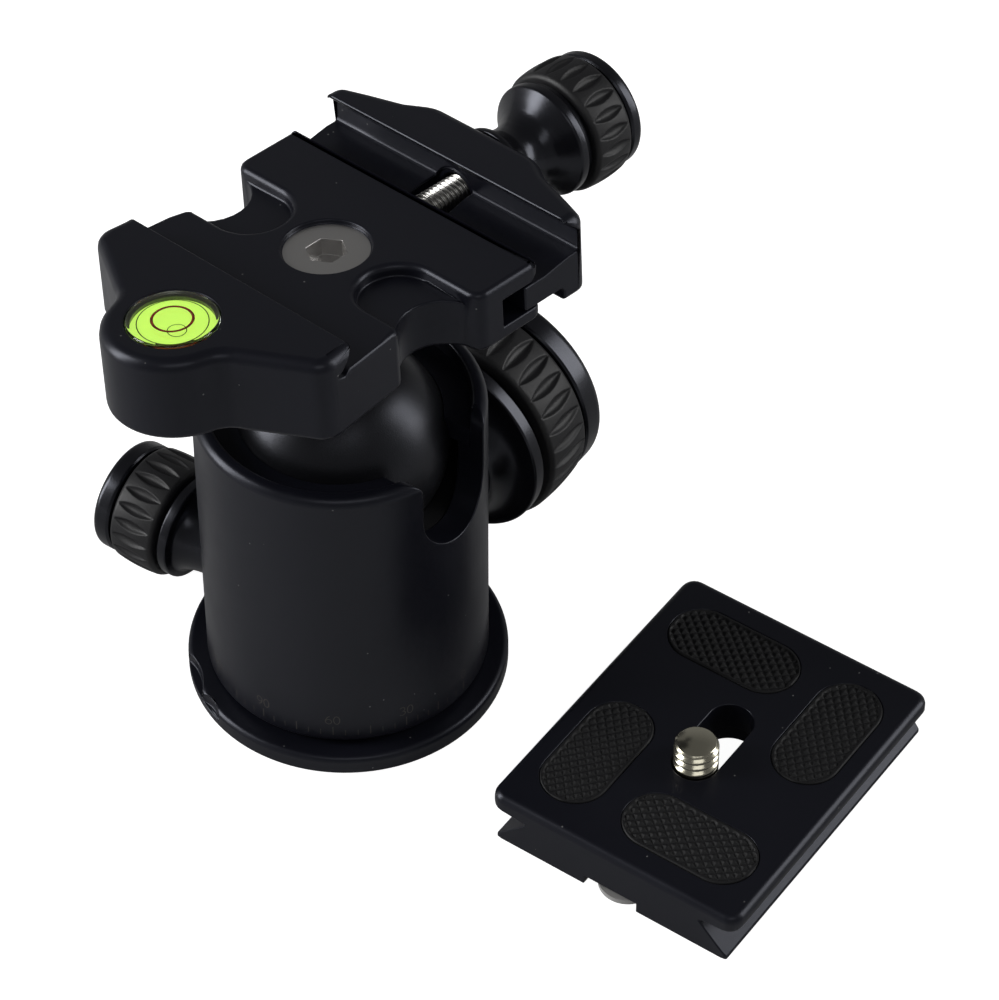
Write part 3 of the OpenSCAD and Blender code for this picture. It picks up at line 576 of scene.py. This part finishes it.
@dataclass(frozen=True)
class Thread:
    """A screw's thread: a rounded V in the shank that climbs one pitch a turn.

    span is where the shank starts and ends, cut is where the thread does, and both fade over
    fade; steepness and crest set the V's slope and the flat that is left between its turns.
    """

    radius: float
    pitch: float
    depth: float
    span: Point
    cut: Point
    bevel: float
    fade: float = 0.5
    steepness: float = 1.35
    crest: float = 0.2
    segments: int = 72
    rows_a_turn: int = 16

    def shank(self) -> tuple[Array, Array]:
        """The threaded shank.

        The radius is the outer one less the depth times the V, where the V falls with the
        height less the turn's share of a pitch, and never more than the end's bevel allows.

        Returns:
            Its angles as a column, and its points.
        """
        angle = steps_round(self.segments)
        low, high = self.span
        rows = int((high - low) / self.pitch * self.rows_a_turn) + 2
        along = np.linspace(low, high, rows)[None, :]
        phase = np.mod(along / self.pitch - angle / (2 * np.pi), 1.0)
        groove = np.clip(self.steepness * np.abs(2 * phase - 1) - self.crest, 0, 1)
        begin = np.clip((along - self.cut[0]) / self.fade, 0, 1)
        cease = np.clip((self.cut[1] - along) / self.fade + 1, 0, 1)
        size = self.radius - self.depth * groove * (begin * cease)
        size = np.minimum(size, self.radius - np.clip(along - (high - self.bevel), 0, self.bevel))
        return angle, about(size, angle, along)

    def screw(self, name: str, place: Place, foot: Sequence[Point],
              finish: Surface) -> bpy.types.Object:
        """The whole screw: a turned foot, the threaded shank and its closed end.

        Args:
            name: Name of the piece.
            place: Frame of the screw's axis.
            foot: Profile below the shank, as radius and distance.
            finish: The screw's finish.

        Returns:
            The screw.
        """
        angle, shank = self.shank()
        ends = np.array([*foot], float).reshape(-1, 2)
        first = about(ends[None, :, 0], angle, ends[None, :, 1])
        last = np.zeros((self.segments, 1, 3))
        last[..., 2] = self.span[1]
        points = np.concatenate([first, shank, last], 1)
        faces = lattice(self.segments, points.shape[1], close_rows=True)
        return even(bake(name, place.at(points), faces, finish))


# ------------------------------------------------------------------- knobs


@dataclass
class Knob:
    """A lock knob: turned hub, dimpled rubber grip and end cap.

    ring is the hub's flange as size, start and end; grip is start, length and size; cap is
    start, end and size. A leaf is one hollow of the grip: leaf is half its length, leaf_width
    its share of the room that it has round the grip, and leaf_depth its depth as a share of
    half that room.
    """

    prefix: str
    body: str
    place: Place
    flare: Array | Sequence[Point]
    ring: Triple
    grip: Triple
    cap: Triple
    core: float
    bore: float
    dimples: int
    leaf: float
    leaf_width: float = 0.64
    leaf_depth: float = 0.4
    crown: float = 0.3
    grip_edge: float = 0.7
    grip_gap: float = 0.1
    collar: Point = (1.1, 0.9)
    cap_rim: float = 1.3
    cap_rim_share: float = 0.13
    dish: float = 0.35
    segments: int = 192
    steps_a_leaf: int = 20
    grip_rows: int = 56

    def hub(self) -> None:
        """Turns the hub: foot, hollow flare, flange, collar and the core under the grip."""
        size, start, end = self.ring
        seat = self.grip[0] - self.grip_gap
        profile = [(self.bore, self.flare[0][1]), *self.flare, (size, start), (size, end),
                   (self.core + self.collar[0], end), (self.core + self.collar[1], seat),
                   (self.core, seat), (self.core, self.cap[0]), (self.bore, self.cap[0])]
        reach = [0.0, 0.3, *([0.5] * (len(self.flare) - 1)), 0.3, 0.35, 0.2, 0.1, 0, 0, 0]
        piece = revolve(f"{self.prefix}_hub_turned", self.place, rounded(profile, reach),
                        KNOB_METAL, self.segments)
        stand_for(piece, self.body, "knob_metal", f"{self.prefix}_hub")

    def leaves(self, angle: Array, along: Array) -> Array:
        """How deep the hollows are: 1 on a leaf's middle line, 0 at its edge and outside it.

        Half a leaf's width falls with the square of the distance from the grip's middle, and
        its depth with the cube.

        Args:
            angle: Angles round the grip.
            along: Distances from the grip's middle.

        Returns:
            The depth at each point, from 0 to 1.
        """
        across = np.abs(np.mod(angle * self.dimples / (2 * np.pi), 1.0) - 0.5) * 2
        run = np.clip(np.abs(along) / self.leaf, 0, 1)
        half = self.leaf_width * (1 - run ** 2) + 1e-6
        return np.clip(1 - (across / half) ** 2, 0, 1) ** 0.8 * (1 - run ** 3)

    def rubber(self) -> None:
        """Models the grip: a crowned barrel with round edges, less one leaf for each dimple."""
        start, length, size = self.grip
        middle, edge = start + length / 2, self.grip_edge
        angle = steps_round(self.dimples * self.steps_a_leaf)
        turned = np.cos(np.linspace(0, np.pi, self.grip_rows))[None, :]
        along = middle - length / 2 * turned
        inset = np.minimum(along - start, start + length - along)
        corner = edge - np.sqrt(np.maximum(edge ** 2 - np.maximum(edge - inset, 0) ** 2, 0))
        barrel = size - self.crown * ((along - middle) / (length / 2)) ** 2 - corner
        depth = self.leaf_depth * size * math.pi / self.dimples
        shell = about(barrel - depth * self.leaves(angle, along - middle), angle, along)
        points = np.concatenate([about(self.core, angle, start), shell,
                                 about(self.core, angle, start + length)], 1)
        faces = lattice(len(angle), points.shape[1], close_rows=True)
        piece = bake(f"{self.prefix}_grip_rubber", self.place.at(points), faces, GRIP_RUBBER)
        stand_for(piece, self.body, "grip_rubber", f"{self.prefix}_grip")

    def end(self) -> None:
        """Turns the cap: a round rim with a shallow dish in its face."""
        start, stop, size = self.cap
        rim = min(self.cap_rim, size * self.cap_rim_share)
        profile = [(0, start), (size - 0.3, start), (size, start + 0.35), (size, stop),
                   (size - rim - 1.2, stop), (size - rim - 1.6, stop - self.dish),
                   (0, stop - self.dish)]
        shape = rounded(profile, [0, 0.1, 0.1, rim, 0.3, 0.3, 0], 10)
        piece = revolve(f"{self.prefix}_cap_turned", self.place, shape, KNOB_METAL, self.segments)
        stand_for(piece, self.body, "knob_metal", f"{self.prefix}_cap")

    def build(self) -> None:
        """Builds the knob's pieces."""
        self.hub()
        self.rubber()
        self.end()


def main_knob() -> Knob:
    """The main lock knob.

    Returns:
        The knob with its sizes.
    """
    return Knob("main", "main_knob", MAIN, flare=swell((10.4, 20.75), (4.3, 4.05), 13),
                ring=(15.5, 25.0, 27.1), grip=(28.2, 8.6, 16.5), cap=(37.2, 41.2, 16.1),
                core=13.5, bore=4.0, dimples=34, leaf=3.9)


def pan_knob() -> Knob:
    """The pan lock knob.

    Returns:
        The knob with its sizes.
    """
    return Knob("pan", "pan_knob", PAN, flare=swell((5.4, 20.75), (1.7, 5.75), 13),
                ring=(7.9, 26.7, 28.1), grip=(28.7, 7.6, 8.9), cap=(36.7, 39.6, 8.4),
                core=6.7, bore=3.0, dimples=22, leaf=3.2)


def clamp_knob() -> Knob:
    """The clamp's knob, with its waisted hub.

    Returns:
        The knob with its sizes.
    """
    waist = [(5.9, 30.8), (6.2, 31.1), (6.1, 31.8), (5.2, 32.8), (4.7, 34.0), (4.6, 35.4),
             (4.9, 36.8), (5.6, 38.0), (6.6, 39.0), (7.8, 40.0)]
    return Knob("clamp", "clamp_knob", CLAMP_SCREW, flare=waist, ring=(8.3, 40.4, 41.7),
                grip=(42.8, 6.9, 9.2), cap=(50.0, 52.1, 8.6), core=7.0, bore=2.5, dimples=22,
                leaf=2.9)


# -------------------------------------------------------- base and housing


@dataclass
class Base:
    """Base disc, spindle, tripod insert, washer and clip."""

    radius: float = 23.0
    top: float = 3.24
    edge: float = 0.18
    shoulder_round: float = 0.8
    rim_band: float = 0.3
    level_slack: float = 0.05

    def shoulder(self, a: Array, b: Array) -> bool:
        """Whether an edge is the ring's upper outer one.

        Args:
            a: One end in metres.
            b: The other end.

        Returns:
            True for the edges that take the wide rounding.
        """
        return all(abs(p[2] / MM - self.top) < self.level_slack
                   and np.hypot(p[0], p[1]) / MM > self.radius - self.rim_band for p in (a, b))

    def build(self) -> None:
        """Rounds the base ring and dresses what it holds."""
        ring = refine("base_disc", "base_ring", BLACK_METAL, self.edge, self.shoulder_round,
                      self.shoulder)
        stand_for(ring, "base", "black_metal", "base_disc")
        dress({"tripod_insert": BRIGHT_STEEL, "pan_spindle": DARK_STEEL, "pan_washer": SEAT_BLACK,
               "spindle_clip": DARK_STEEL})


@dataclass(frozen=True)
class Digit:
    """A figure of the degree scale, drawn in a box 0.56 wide and 1 high."""

    sign: str

    def arc(self, centre: Point, radii: Point, first: float, last: float) -> Array:
        """Points of part of an ellipse, from one angle to another in degrees."""
        a = np.radians(np.linspace(first, last, 17))
        return np.stack([centre[0] + radii[0] * np.cos(a), centre[1] + radii[1] * np.sin(a)], -1)

    def strokes(self) -> list[Array]:
        """The figure's strokes.

        Returns:
            One array of points for each stroke.
        """
        six = [self.arc((0.28, 0.3), (0.27, 0.3), 0, 360),
               self.arc((0.62, 0.3), (0.61, 0.74), 180, 112)]
        hook = self.arc((0.28, 0.72), (0.26, 0.28), 170, -35)
        table = {
            "0": [self.arc((0.28, 0.5), (0.27, 0.5), 0, 360)],
            "1": [np.array([[0.1, 0.78], [0.3, 1.0]]), np.array([[0.3, 1.0], [0.3, 0.0]])],
            "2": [np.concatenate([hook, [[0.02, 0.0]]]), np.array([[0.02, 0.0], [0.56, 0.0]])],
            "3": [self.arc((0.26, 0.75), (0.24, 0.25), 150, -90),
                  self.arc((0.26, 0.26), (0.28, 0.26), 90, -150)],
            "5": [np.array([[0.5, 1.0], [0.1, 1.0]]), np.array([[0.1, 1.0], [0.07, 0.56]]),
                  self.arc((0.26, 0.32), (0.28, 0.32), 130, -150)],
            "6": six,
            "8": [self.arc((0.28, 0.75), (0.22, 0.25), 0, 360),
                  self.arc((0.28, 0.26), (0.27, 0.26), 0, 360)],
            "9": [np.array([0.56, 1.0]) - stroke for stroke in six],
        }
        return table[self.sign]


@dataclass
class Housing:
    """Housing with its seats, bush, wedge, spring and degree scale.

    The scale has a line each tick_step degrees and a longer one each long_step. Its numbers
    run each number_step from 0 at front to 180 behind, on both sides. advance is the room of
    a figure and figure_gap what is left between two, as shares of the figures' height.
    """

    radius: float = 20.17
    edge: float = 0.2
    ticks_z: Point = (5.2, 6.9)
    minor_top: float = 6.3
    tick_step: int = 5
    long_step: int = 15
    long_width: float = 0.13
    short_width: float = 0.09
    number_step: int = 30
    front: int = 270
    numeral_z: float = 7.5
    numeral_h: float = 1.6
    numeral_width: float = 0.15
    advance: float = 0.72
    figure_gap: float = 0.16
    paint: float = 0.008

    def body(self) -> None:
        """Rounds the housing's edges and dresses what it holds."""
        shell = refine("housing", "housing_shell", BLACK_METAL, self.edge)
        stand_for(shell, "housing", "black_metal", "housing")
        dress({"seat_ring": BLACK_METAL, "main_bush": BRASS, "lower_seat": SEAT_BLACK,
               "lock_wedge": BRASS, "wedge_spring": BRIGHT_STEEL, "pan_shoe": BRASS})

    def ribbon(self, line: Array, width: float) -> tuple[Array, Array]:
        """A stroke laid on the housing's wall.

        Half the width goes to each side of the line, and the distance round the wall over the
        radius gives the angle.

        Args:
            line: Points as distance round the wall and height.
            width: Width of the stroke.

        Returns:
            Its points in metres and its quads.
        """
        ahead = np.gradient(line, axis=0)
        side = np.stack([-ahead[:, 1], ahead[:, 0]], -1)
        side /= np.linalg.norm(side, axis=1, keepdims=True)
        both = np.stack([line - side * width / 2, line + side * width / 2], 1)
        points = about(self.radius + self.paint, both[..., 0] / self.radius, both[..., 1])
        return points.reshape(-1, 3) * MM, lattice(len(line), 2)

    def ticks(self) -> list[tuple[Array, float]]:
        """The scale's lines.

        Returns:
            Each line with its width.
        """
        lines = []
        for degree in range(0, 360, self.tick_step):
            at = math.radians(degree) * self.radius
            is_long = degree % self.long_step == 0
            top = self.ticks_z[1] if is_long else self.minor_top
            lines.append((np.array([[at, self.ticks_z[0]], [at, top]]),
                          self.long_width if is_long else self.short_width))
        return lines

    def numerals(self) -> list[tuple[Array, float]]:
        """The scale's numbers.

        Returns:
            Each stroke with its width.
        """
        lines = []
        size = self.numeral_h
        for number in range(0, 181, self.number_step):
            for side in ((-1, 1) if 0 < number < 180 else (1,)):
                text = str(number)
                at = math.radians(self.front + side * number) * self.radius
                left = at - (len(text) * self.advance - self.figure_gap) * size / 2
                for k, sign in enumerate(text):
                    corner = [left + k * self.advance * size, self.numeral_z]
                    lines += [(stroke * size + corner, self.numeral_width)
                              for stroke in Digit(sign).strokes()]
        return lines

    def scale(self) -> None:
        """Draws the degree scale as one piece."""
        ribbons = [self.ribbon(line, width) for line, width in self.ticks() + self.numerals()]
        first = np.cumsum([0] + [len(points) for points, _ in ribbons])
        quads = np.concatenate([faces + start for (_, faces), start in zip(ribbons, first)])
        piece = bake("degree_scale", np.concatenate([points for points, _ in ribbons]), quads,
                     SCALE_GREY)
        stand_for(piece, "housing", "black_metal")

    def build(self) -> None:
        """Builds the housing's pieces."""
        self.body()
        self.scale()


@dataclass
class Ball:
    """Ball and stem: a pin in the ball, a neck, a flare and the flange under the clamp."""

    pin: Triple = (4.0, 4.56, 13.66)
    neck: float = 6.2
    flare_start: float = 19.0
    flare_reach: Point = (3.2, 2.4)
    flange: float = 9.4
    top: float = 22.98

    def build(self) -> None:
        """Dresses the ball and turns the stem with a smooth flare."""
        dress({"ball": BALL_BLACK})
        size, low, high = self.pin
        flare = swell((self.neck, self.flare_start), self.flare_reach, 12)
        profile = [(0, low), (size, low), (size, high), (self.neck, high), *flare,
                   (self.flange, self.top), (0, self.top)]
        reach = [0, 0.2, 0, 0.15, *([0.2] * len(flare)), 0.25, 0]
        piece = revolve("stem_turned", STEM, rounded(profile, reach), STEM_BLACK)
        stand_for(piece, "clamp", "ball_black", "stem")


# ------------------------------------------------------------------- clamp


@dataclass
class Level:
    """Round level: olive cup, fluid brightened by a painted glow, a bubble shown only by a painted
    shade ring at its rim, a painted shade ring at the fluid's rim, a dark red ring and a clear
    lens.

    Heights are from the jaw's top: the fluid's are its floor, shoulder and top, the lens' its
    foot, shoulder and crown.
    """

    radius: float = 6.2
    wall: float = 0.82
    fluid_z: Triple = (-4.3, -1.75, -1.45)
    fluid_step: float = 1.1
    lens_z: Triple = (-1.38, 0.1, 0.4)
    lens_step: float = 1.6
    ring: Triple = (2.7, 0.2, -0.5)
    bubble: Point = (-0.92, -1.84)
    bubble_edge: Triple = (1.25, 0.06, -1.3)
    well_edge: Triple = (4.6, 0.07, -1.3)

    def circle(self, name: str, centre: Point, sizes: Triple, finish: Finish) -> None:
        """A fine ring, as a torus half as high as it is wide: the printed mark, or a ring of
        painted shade.

        Args:
            name: Name of the piece.
            centre: Centre in the level's frame.
            sizes: Radius of the ring, half width of its line and its height.
            finish: Its finish.
        """
        size, wire, height = sizes
        b = steps_round(10).T
        points = about(size + wire * np.cos(b), steps_round(96), height + wire * 0.5 * np.sin(b))
        piece = bake(name, LEVEL.at(points + [*centre, 0]), lattice(96, 10, True, True), finish)
        stand_for(piece, "clamp", "level_body")

    def build(self) -> None:
        """Builds the level's pieces."""
        dress({"level_cup": LEVEL_BODY})
        wall, (floor, shoulder, top) = self.radius - self.wall, self.fluid_z
        pool = rounded([(0, floor), (wall, floor), (wall, shoulder), (wall - self.fluid_step, top),
                        (0, top)], [0, 0.3, 0.4, 0.6, 0])
        stand_for(revolve("level_pool", LEVEL, pool, FLUID, 96), "clamp", "level_fluid",
                  "level_fluid")
        foot, shoulder, crown = self.lens_z
        dome = rounded([(0, foot), (self.radius, foot), (self.radius, shoulder),
                        (self.radius - self.lens_step, crown), (0, crown)],
                       [0, 0.1, 0.5, 1.2, 0], 10)
        stand_for(revolve("level_dome", LEVEL, dome, CLEAR, 128), "clamp", "level_clear",
                  "level_lens")
        self.circle("level_ring", (0, 0), self.ring, LEVEL_MARK)
        # Painted shade rings: the bubble's rim and the fluid's rim drawn dark.
        self.circle("level_bubble_edge", self.bubble, self.bubble_edge, RIM_SHADE)
        self.circle("level_well_edge", (0, 0), self.well_edge, RIM_SHADE)


@dataclass
class Clamp:
    """Clamp body, centre screw, moving jaw, clamp screw and the level.

    The floor's rim is rounded wide, but not on the level's boss, left of boss_x, nor round
    the centre screw, nearer than head_room.
    """

    floor_z: float = 0.65
    level_slack: float = 0.03
    boss_x: float = -15.0
    head_room: float = 7.0
    edge: float = 0.3
    floor_round: float = 0.9
    head_edge: float = 0.12
    spring_edge: float = 0.05
    spring_seat: Triple = (9.6, 0.0, -4.3)
    thread: Thread = Thread(radius=2.44, pitch=0.8, depth=0.42, span=(10.1, 50.0),
                            cut=(10.1, 27.0), bevel=0.1)
    level: Level = field(default_factory=Level)

    def soft_edge(self, a: Array, b: Array) -> bool:
        """Whether an edge rims the clamp's floor or its pockets.

        Args:
            a: One end in metres.
            b: The other end.

        Returns:
            True for the edges that take the wide rounding.
        """
        ends = [CLAMP.inside(a), CLAMP.inside(b)]
        return all(abs(p[2] - self.floor_z) < self.level_slack and p[0] > self.boss_x
                   and np.hypot(*p[:2]) > self.head_room for p in ends)

    def castings(self) -> None:
        """Rounds the clamp body, the jaw and the centre screw, and dresses the pins."""
        piece = refine("clamp_body", "clamp_casting", BLACK_METAL, self.edge, self.floor_round,
                       self.soft_edge)
        stand_for(piece, "clamp", "black_metal", "clamp_body")
        jaw = refine("moving_jaw", "jaw_casting", BLACK_METAL, self.edge)
        stand_for(jaw, "jaw", "black_metal", "moving_jaw")
        head = refine("center_screw", "head_screw", HEAD_STEEL, self.head_edge)
        stand_for(head, "clamp", "bright_steel", "center_screw")
        dress({"locating_pins": DARK_STEEL, "guide_pins": BRIGHT_STEEL})

    def springs(self) -> None:
        """Rounds the return springs and gives them a mesh of their own."""
        springs = refine("jaw_springs", "return_springs", BRIGHT_STEEL, self.spring_edge)
        stand_for(springs, "clamp", "bright_steel", "jaw_springs")
        tuple(CLAMP.at(self.spring_seat))
        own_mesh(springs)

    def build(self) -> None:
        """Builds the clamp's pieces."""
        self.castings()
        self.springs()
        screw = self.thread.screw("clamp_screw_thread", CLAMP_SCREW, [(0, self.thread.span[0])],
                                  BRIGHT_STEEL)
        stand_for(screw, "clamp_knob", "bright_steel", "clamp_screw")
        self.level.build()


# ------------------------------------------------------------------- plate


@dataclass
class Plate:
    """Quick-release plate with knurled pads and the camera screw.

    Each of spots is a pad's centre and its turn in degrees. The knurl is a field of small
    pyramids, of pitch knurl along a slanted grid and deep by groove, inside a plain band that
    rim_band and rim_fade set.
    """

    top: float = 8.57
    edge: float = 0.2
    pad_length: float = 20.4
    pad_width: float = 9.9
    pad_rise: float = 0.14
    pad_depth: float = 0.9
    pad_grid: tuple[int, int] = (241, 121)
    end_share: float = 0.25
    knurl: float = 1.5
    slant: float = 0.85
    flank: float = 1.3
    groove: float = 0.34
    rim_band: float = 0.45
    rim_fade: float = 0.25
    spots: Sequence[Triple] = (
        (16.1, 6.9, 90), (-10.6, 12.1, 0), (-16.1, -6.9, 90), (10.6, -12.1, 0))
    thread: Thread = Thread(radius=3.175, pitch=1.27, depth=0.55, span=(7.2, 12.77),
                            cut=(8.7, 12.3), bevel=0.5)
    screw_foot: Sequence[Point] = (
        (0, 1.5), (3.8, 1.5), (4.0, 1.7), (4.0, 2.9), (3.8, 3.1), (2.6, 3.1), (2.6, 7.2))

    def pad_top(self) -> Array:
        """The pad's upper face: a bar with round ends, knurled and rounded off at its rim.

        The height falls by the groove times 1 less the pyramid, which rises from each of two
        slanted sets of lines, and near the rim by the square of what is left to it.

        Returns:
            Its points on a grid, with the bar along x.
        """
        half, end = self.pad_length / 2, self.pad_width / 2
        u = np.linspace(-1, 1, self.pad_grid[0])[:, None]
        v = np.linspace(-1, 1, self.pad_grid[1])[None, :]
        x = half * (np.sin(u * np.pi / 2) * self.end_share + u * (1 - self.end_share))
        past = np.maximum(np.abs(x) - (half - end), 0)
        reach = np.sqrt(np.maximum(end ** 2 - past ** 2, 0))
        y = v * reach
        rim = np.minimum((1 - np.abs(v)) * reach, half - np.abs(x))
        one = np.abs(np.mod((x * self.slant + y) / self.knurl, 1) - 0.5) * 2
        two = np.abs(np.mod((x * self.slant - y) / self.knurl, 1) - 0.5) * 2
        pyramid = np.clip(self.flank * np.minimum(one, two), 0, 1)
        inside = np.clip((rim - self.rim_band) / self.rim_fade, 0, 1)
        worn = self.rim_fade * np.clip(1 - rim / self.rim_fade, 0, 1) ** 2
        z = self.top + self.pad_rise - self.groove * (1 - pyramid) * inside - worn
        return np.stack([x + 0 * y, y, z], -1)

    def pad(self, index: int, spot: Triple) -> bpy.types.Object:
        """One pad: its knurled face, the same outline flat below it, and a wall between.

        Args:
            index: Number of the pad.
            spot: Its centre and its turn in degrees.

        Returns:
            The pad.
        """
        face = self.pad_top() @ turn(Axis.Z, spot[2]).T + [spot[0], spot[1], 0]
        low = face.copy()
        low[..., 2] = self.top - self.pad_depth
        rows, columns = self.pad_grid
        count = rows * columns
        top = lattice(rows, columns)
        border = np.concatenate([np.arange(columns), np.arange(1, rows) * columns + columns - 1,
                                 (rows - 1) * columns + np.arange(columns - 2, -1, -1),
                                 np.arange(rows - 2, 0, -1) * columns])
        after = np.roll(border, -1)
        wall = np.stack([border, after, after + count, border + count], -1)
        faces = np.concatenate([top, wall, top[:, ::-1] + count])
        points = PLATE.at(np.concatenate([face.reshape(-1, 3), low.reshape(-1, 3)]))
        return bake(f"pad_{index}", points, faces, PAD_RUBBER)

    def build(self) -> None:
        """Builds the plate's pieces, and dresses the screws and pins that stay as they are."""
        casting = refine("plate_body", "plate_casting", BLACK_METAL, self.edge)
        stand_for(casting, "plate", "black_metal", "plate_body")
        pads = [self.pad(k, spot) for k, spot in enumerate(self.spots)]
        stand_for(pads[0], "plate", "pad_rubber", "plate_pads")
        for pad in pads[1:]:
            stand_for(pad, "plate", "pad_rubber")
        screw = self.thread.screw("camera_screw_thread", CAMERA_SCREW, self.screw_foot,
                                  SCREW_NICKEL)
        stand_for(screw, "camera_screw", "screw_nickel", "camera_screw")
        dress({"screw_washer": SEAT_BLACK, "screw_ring": RING_STEEL, "ring_pin": DARK_STEEL,
               "main_screw": BRIGHT_STEEL, "pan_screw": BRIGHT_STEEL})


# ------------------------------------------------------------------ studio


@dataclass(frozen=True)
class SoftBox:
    """A soft lamp: place in metres right of, away from and above the middle, size and watts."""

    name: str
    place: Triple
    size: Point
    watts: float


@dataclass
class Studio:
    """Pale floor, soft lamps and the camera."""

    azimuth: float = -55.5
    elevation: float = 45.93
    lens: float = 156.44
    stand: Triple = (0.02171, -0.4198, 0.4654)
    sensor: float = 36.0
    nearest: float = 0.01
    aim: Triple = (0, 0, 0.03)
    floor_size: float = 6.0
    sky: float = 0.1
    sky_from: float = 0.75
    horizon: float = 0.22
    floor_lift: float = 0.95
    lamps: Sequence[SoftBox] = (
        SoftBox("left", (-0.95, 0.0, 0.4), (0.35, 0.8), 8.0),
        SoftBox("right", (0.95, 0.1, 0.45), (0.35, 0.8), 4.0),
        SoftBox("front", (0.1, -0.9, 1.1), (0.9, 0.4), 1.5))

    def floor(self) -> None:
        """Lays the pale floor that takes the shadow."""
        half = self.floor_size / 2
        points = np.array([[-half, -half, 0], [half, -half, 0], [half, half, 0], [-half, half, 0]])
        bake("floor", points, [(0, 1, 2, 3)], FLOOR_WHITE)
        tree = FLOOR_WHITE.material().node_tree
        path = tree.nodes.new("ShaderNodeLightPath")
        lift = tree.nodes.new("ShaderNodeMath")
        lift.operation = "MULTIPLY"
        lift.inputs[1].default_value = self.floor_lift
        tree.links.new(path.outputs["Is Camera Ray"], lift.inputs[0])
        shader = tree.nodes["Principled BSDF"]
        shader.inputs["Emission Color"].default_value = (1.0, 1.0, 1.0, 1.0)
        tree.links.new(lift.outputs["Value"], shader.inputs["Emission Strength"])

    def world(self) -> None:
        """Sets a soft sky, bright near the horizon, that shows white to the camera."""
        world = bpy.data.worlds.new("soft_sky")
        world.use_nodes = True
        bpy.context.scene.world = world
        nodes, links = world.node_tree.nodes, world.node_tree.links
        back = nodes["Background"]
        back.inputs["Color"].default_value = (1.0, 1.0, 1.0, 1.0)
        coords = nodes.new("ShaderNodeTexCoord")
        split = nodes.new("ShaderNodeSeparateXYZ")
        links.new(coords.outputs["Generated"], split.inputs["Vector"])
        ramp = nodes.new("ShaderNodeMapRange")
        ramp.inputs["From Max"].default_value = self.sky_from
        ramp.inputs["To Min"].default_value = self.horizon
        ramp.inputs["To Max"].default_value = self.sky
        links.new(split.outputs["Z"], ramp.inputs["Value"])
        path = nodes.new("ShaderNodeLightPath")
        level = nodes.new("ShaderNodeMix")
        links.new(path.outputs["Is Camera Ray"], level.inputs["Factor"])
        links.new(ramp.outputs["Result"], level.inputs["A"])
        level.inputs["B"].default_value = 1.0
        links.new(level.outputs["Result"], back.inputs["Strength"])

    def hang(self, box: SoftBox) -> None:
        """Hangs a soft box that looks at the object.

        Args:
            box: The lamp, placed in axes that follow the camera's direction.
        """
        spot = Vector(turn(Axis.Z, self.azimuth) @ np.array(box.place))
        data = bpy.data.lights.new(box.name, "AREA")
        data.shape = "RECTANGLE"
        data.size, data.size_y = box.size
        data.energy = box.watts
        lamp = bpy.data.objects.new(box.name, data)
        lamp.location = spot
        lamp.rotation_euler = (Vector(self.aim) - spot).to_track_quat("-Z", "Y").to_euler()
        bpy.context.scene.collection.objects.link(lamp)

    def camera(self) -> None:
        """Stands the camera at the product's three-quarter angle."""
        data = bpy.data.cameras.new("camera")
        data.lens = self.lens
        data.sensor_width = self.sensor
        data.clip_start = self.nearest
        cam = bpy.data.objects.new("camera", data)
        cam.location = turn(Axis.Z, self.azimuth) @ np.array(self.stand)
        cam.rotation_euler = (math.radians(90 - self.elevation), 0.0, math.radians(self.azimuth))
        bpy.context.scene.collection.objects.link(cam)
        bpy.context.scene.camera = cam

    def build(self) -> None:
        """Builds the whole studio."""
        self.floor()
        self.world()
        for box in self.lamps:
            self.hang(box)
        self.camera()
        bpy.context.scene.view_settings.view_transform = "Standard"


def main() -> None:
    """Builds and dresses every sub-assembly, then the studio."""
    logging.basicConfig(level=logging.INFO, format="%(name)s: %(message)s")
    parts = (Base(), Housing(), Ball(), main_knob(), pan_knob(), Clamp(), clamp_knob(), Plate())
    for part in parts:
        part.build()
        LOG.info("finished %s", type(part).__name__)
    Studio().build()


if __name__ == "__main__":
    main()
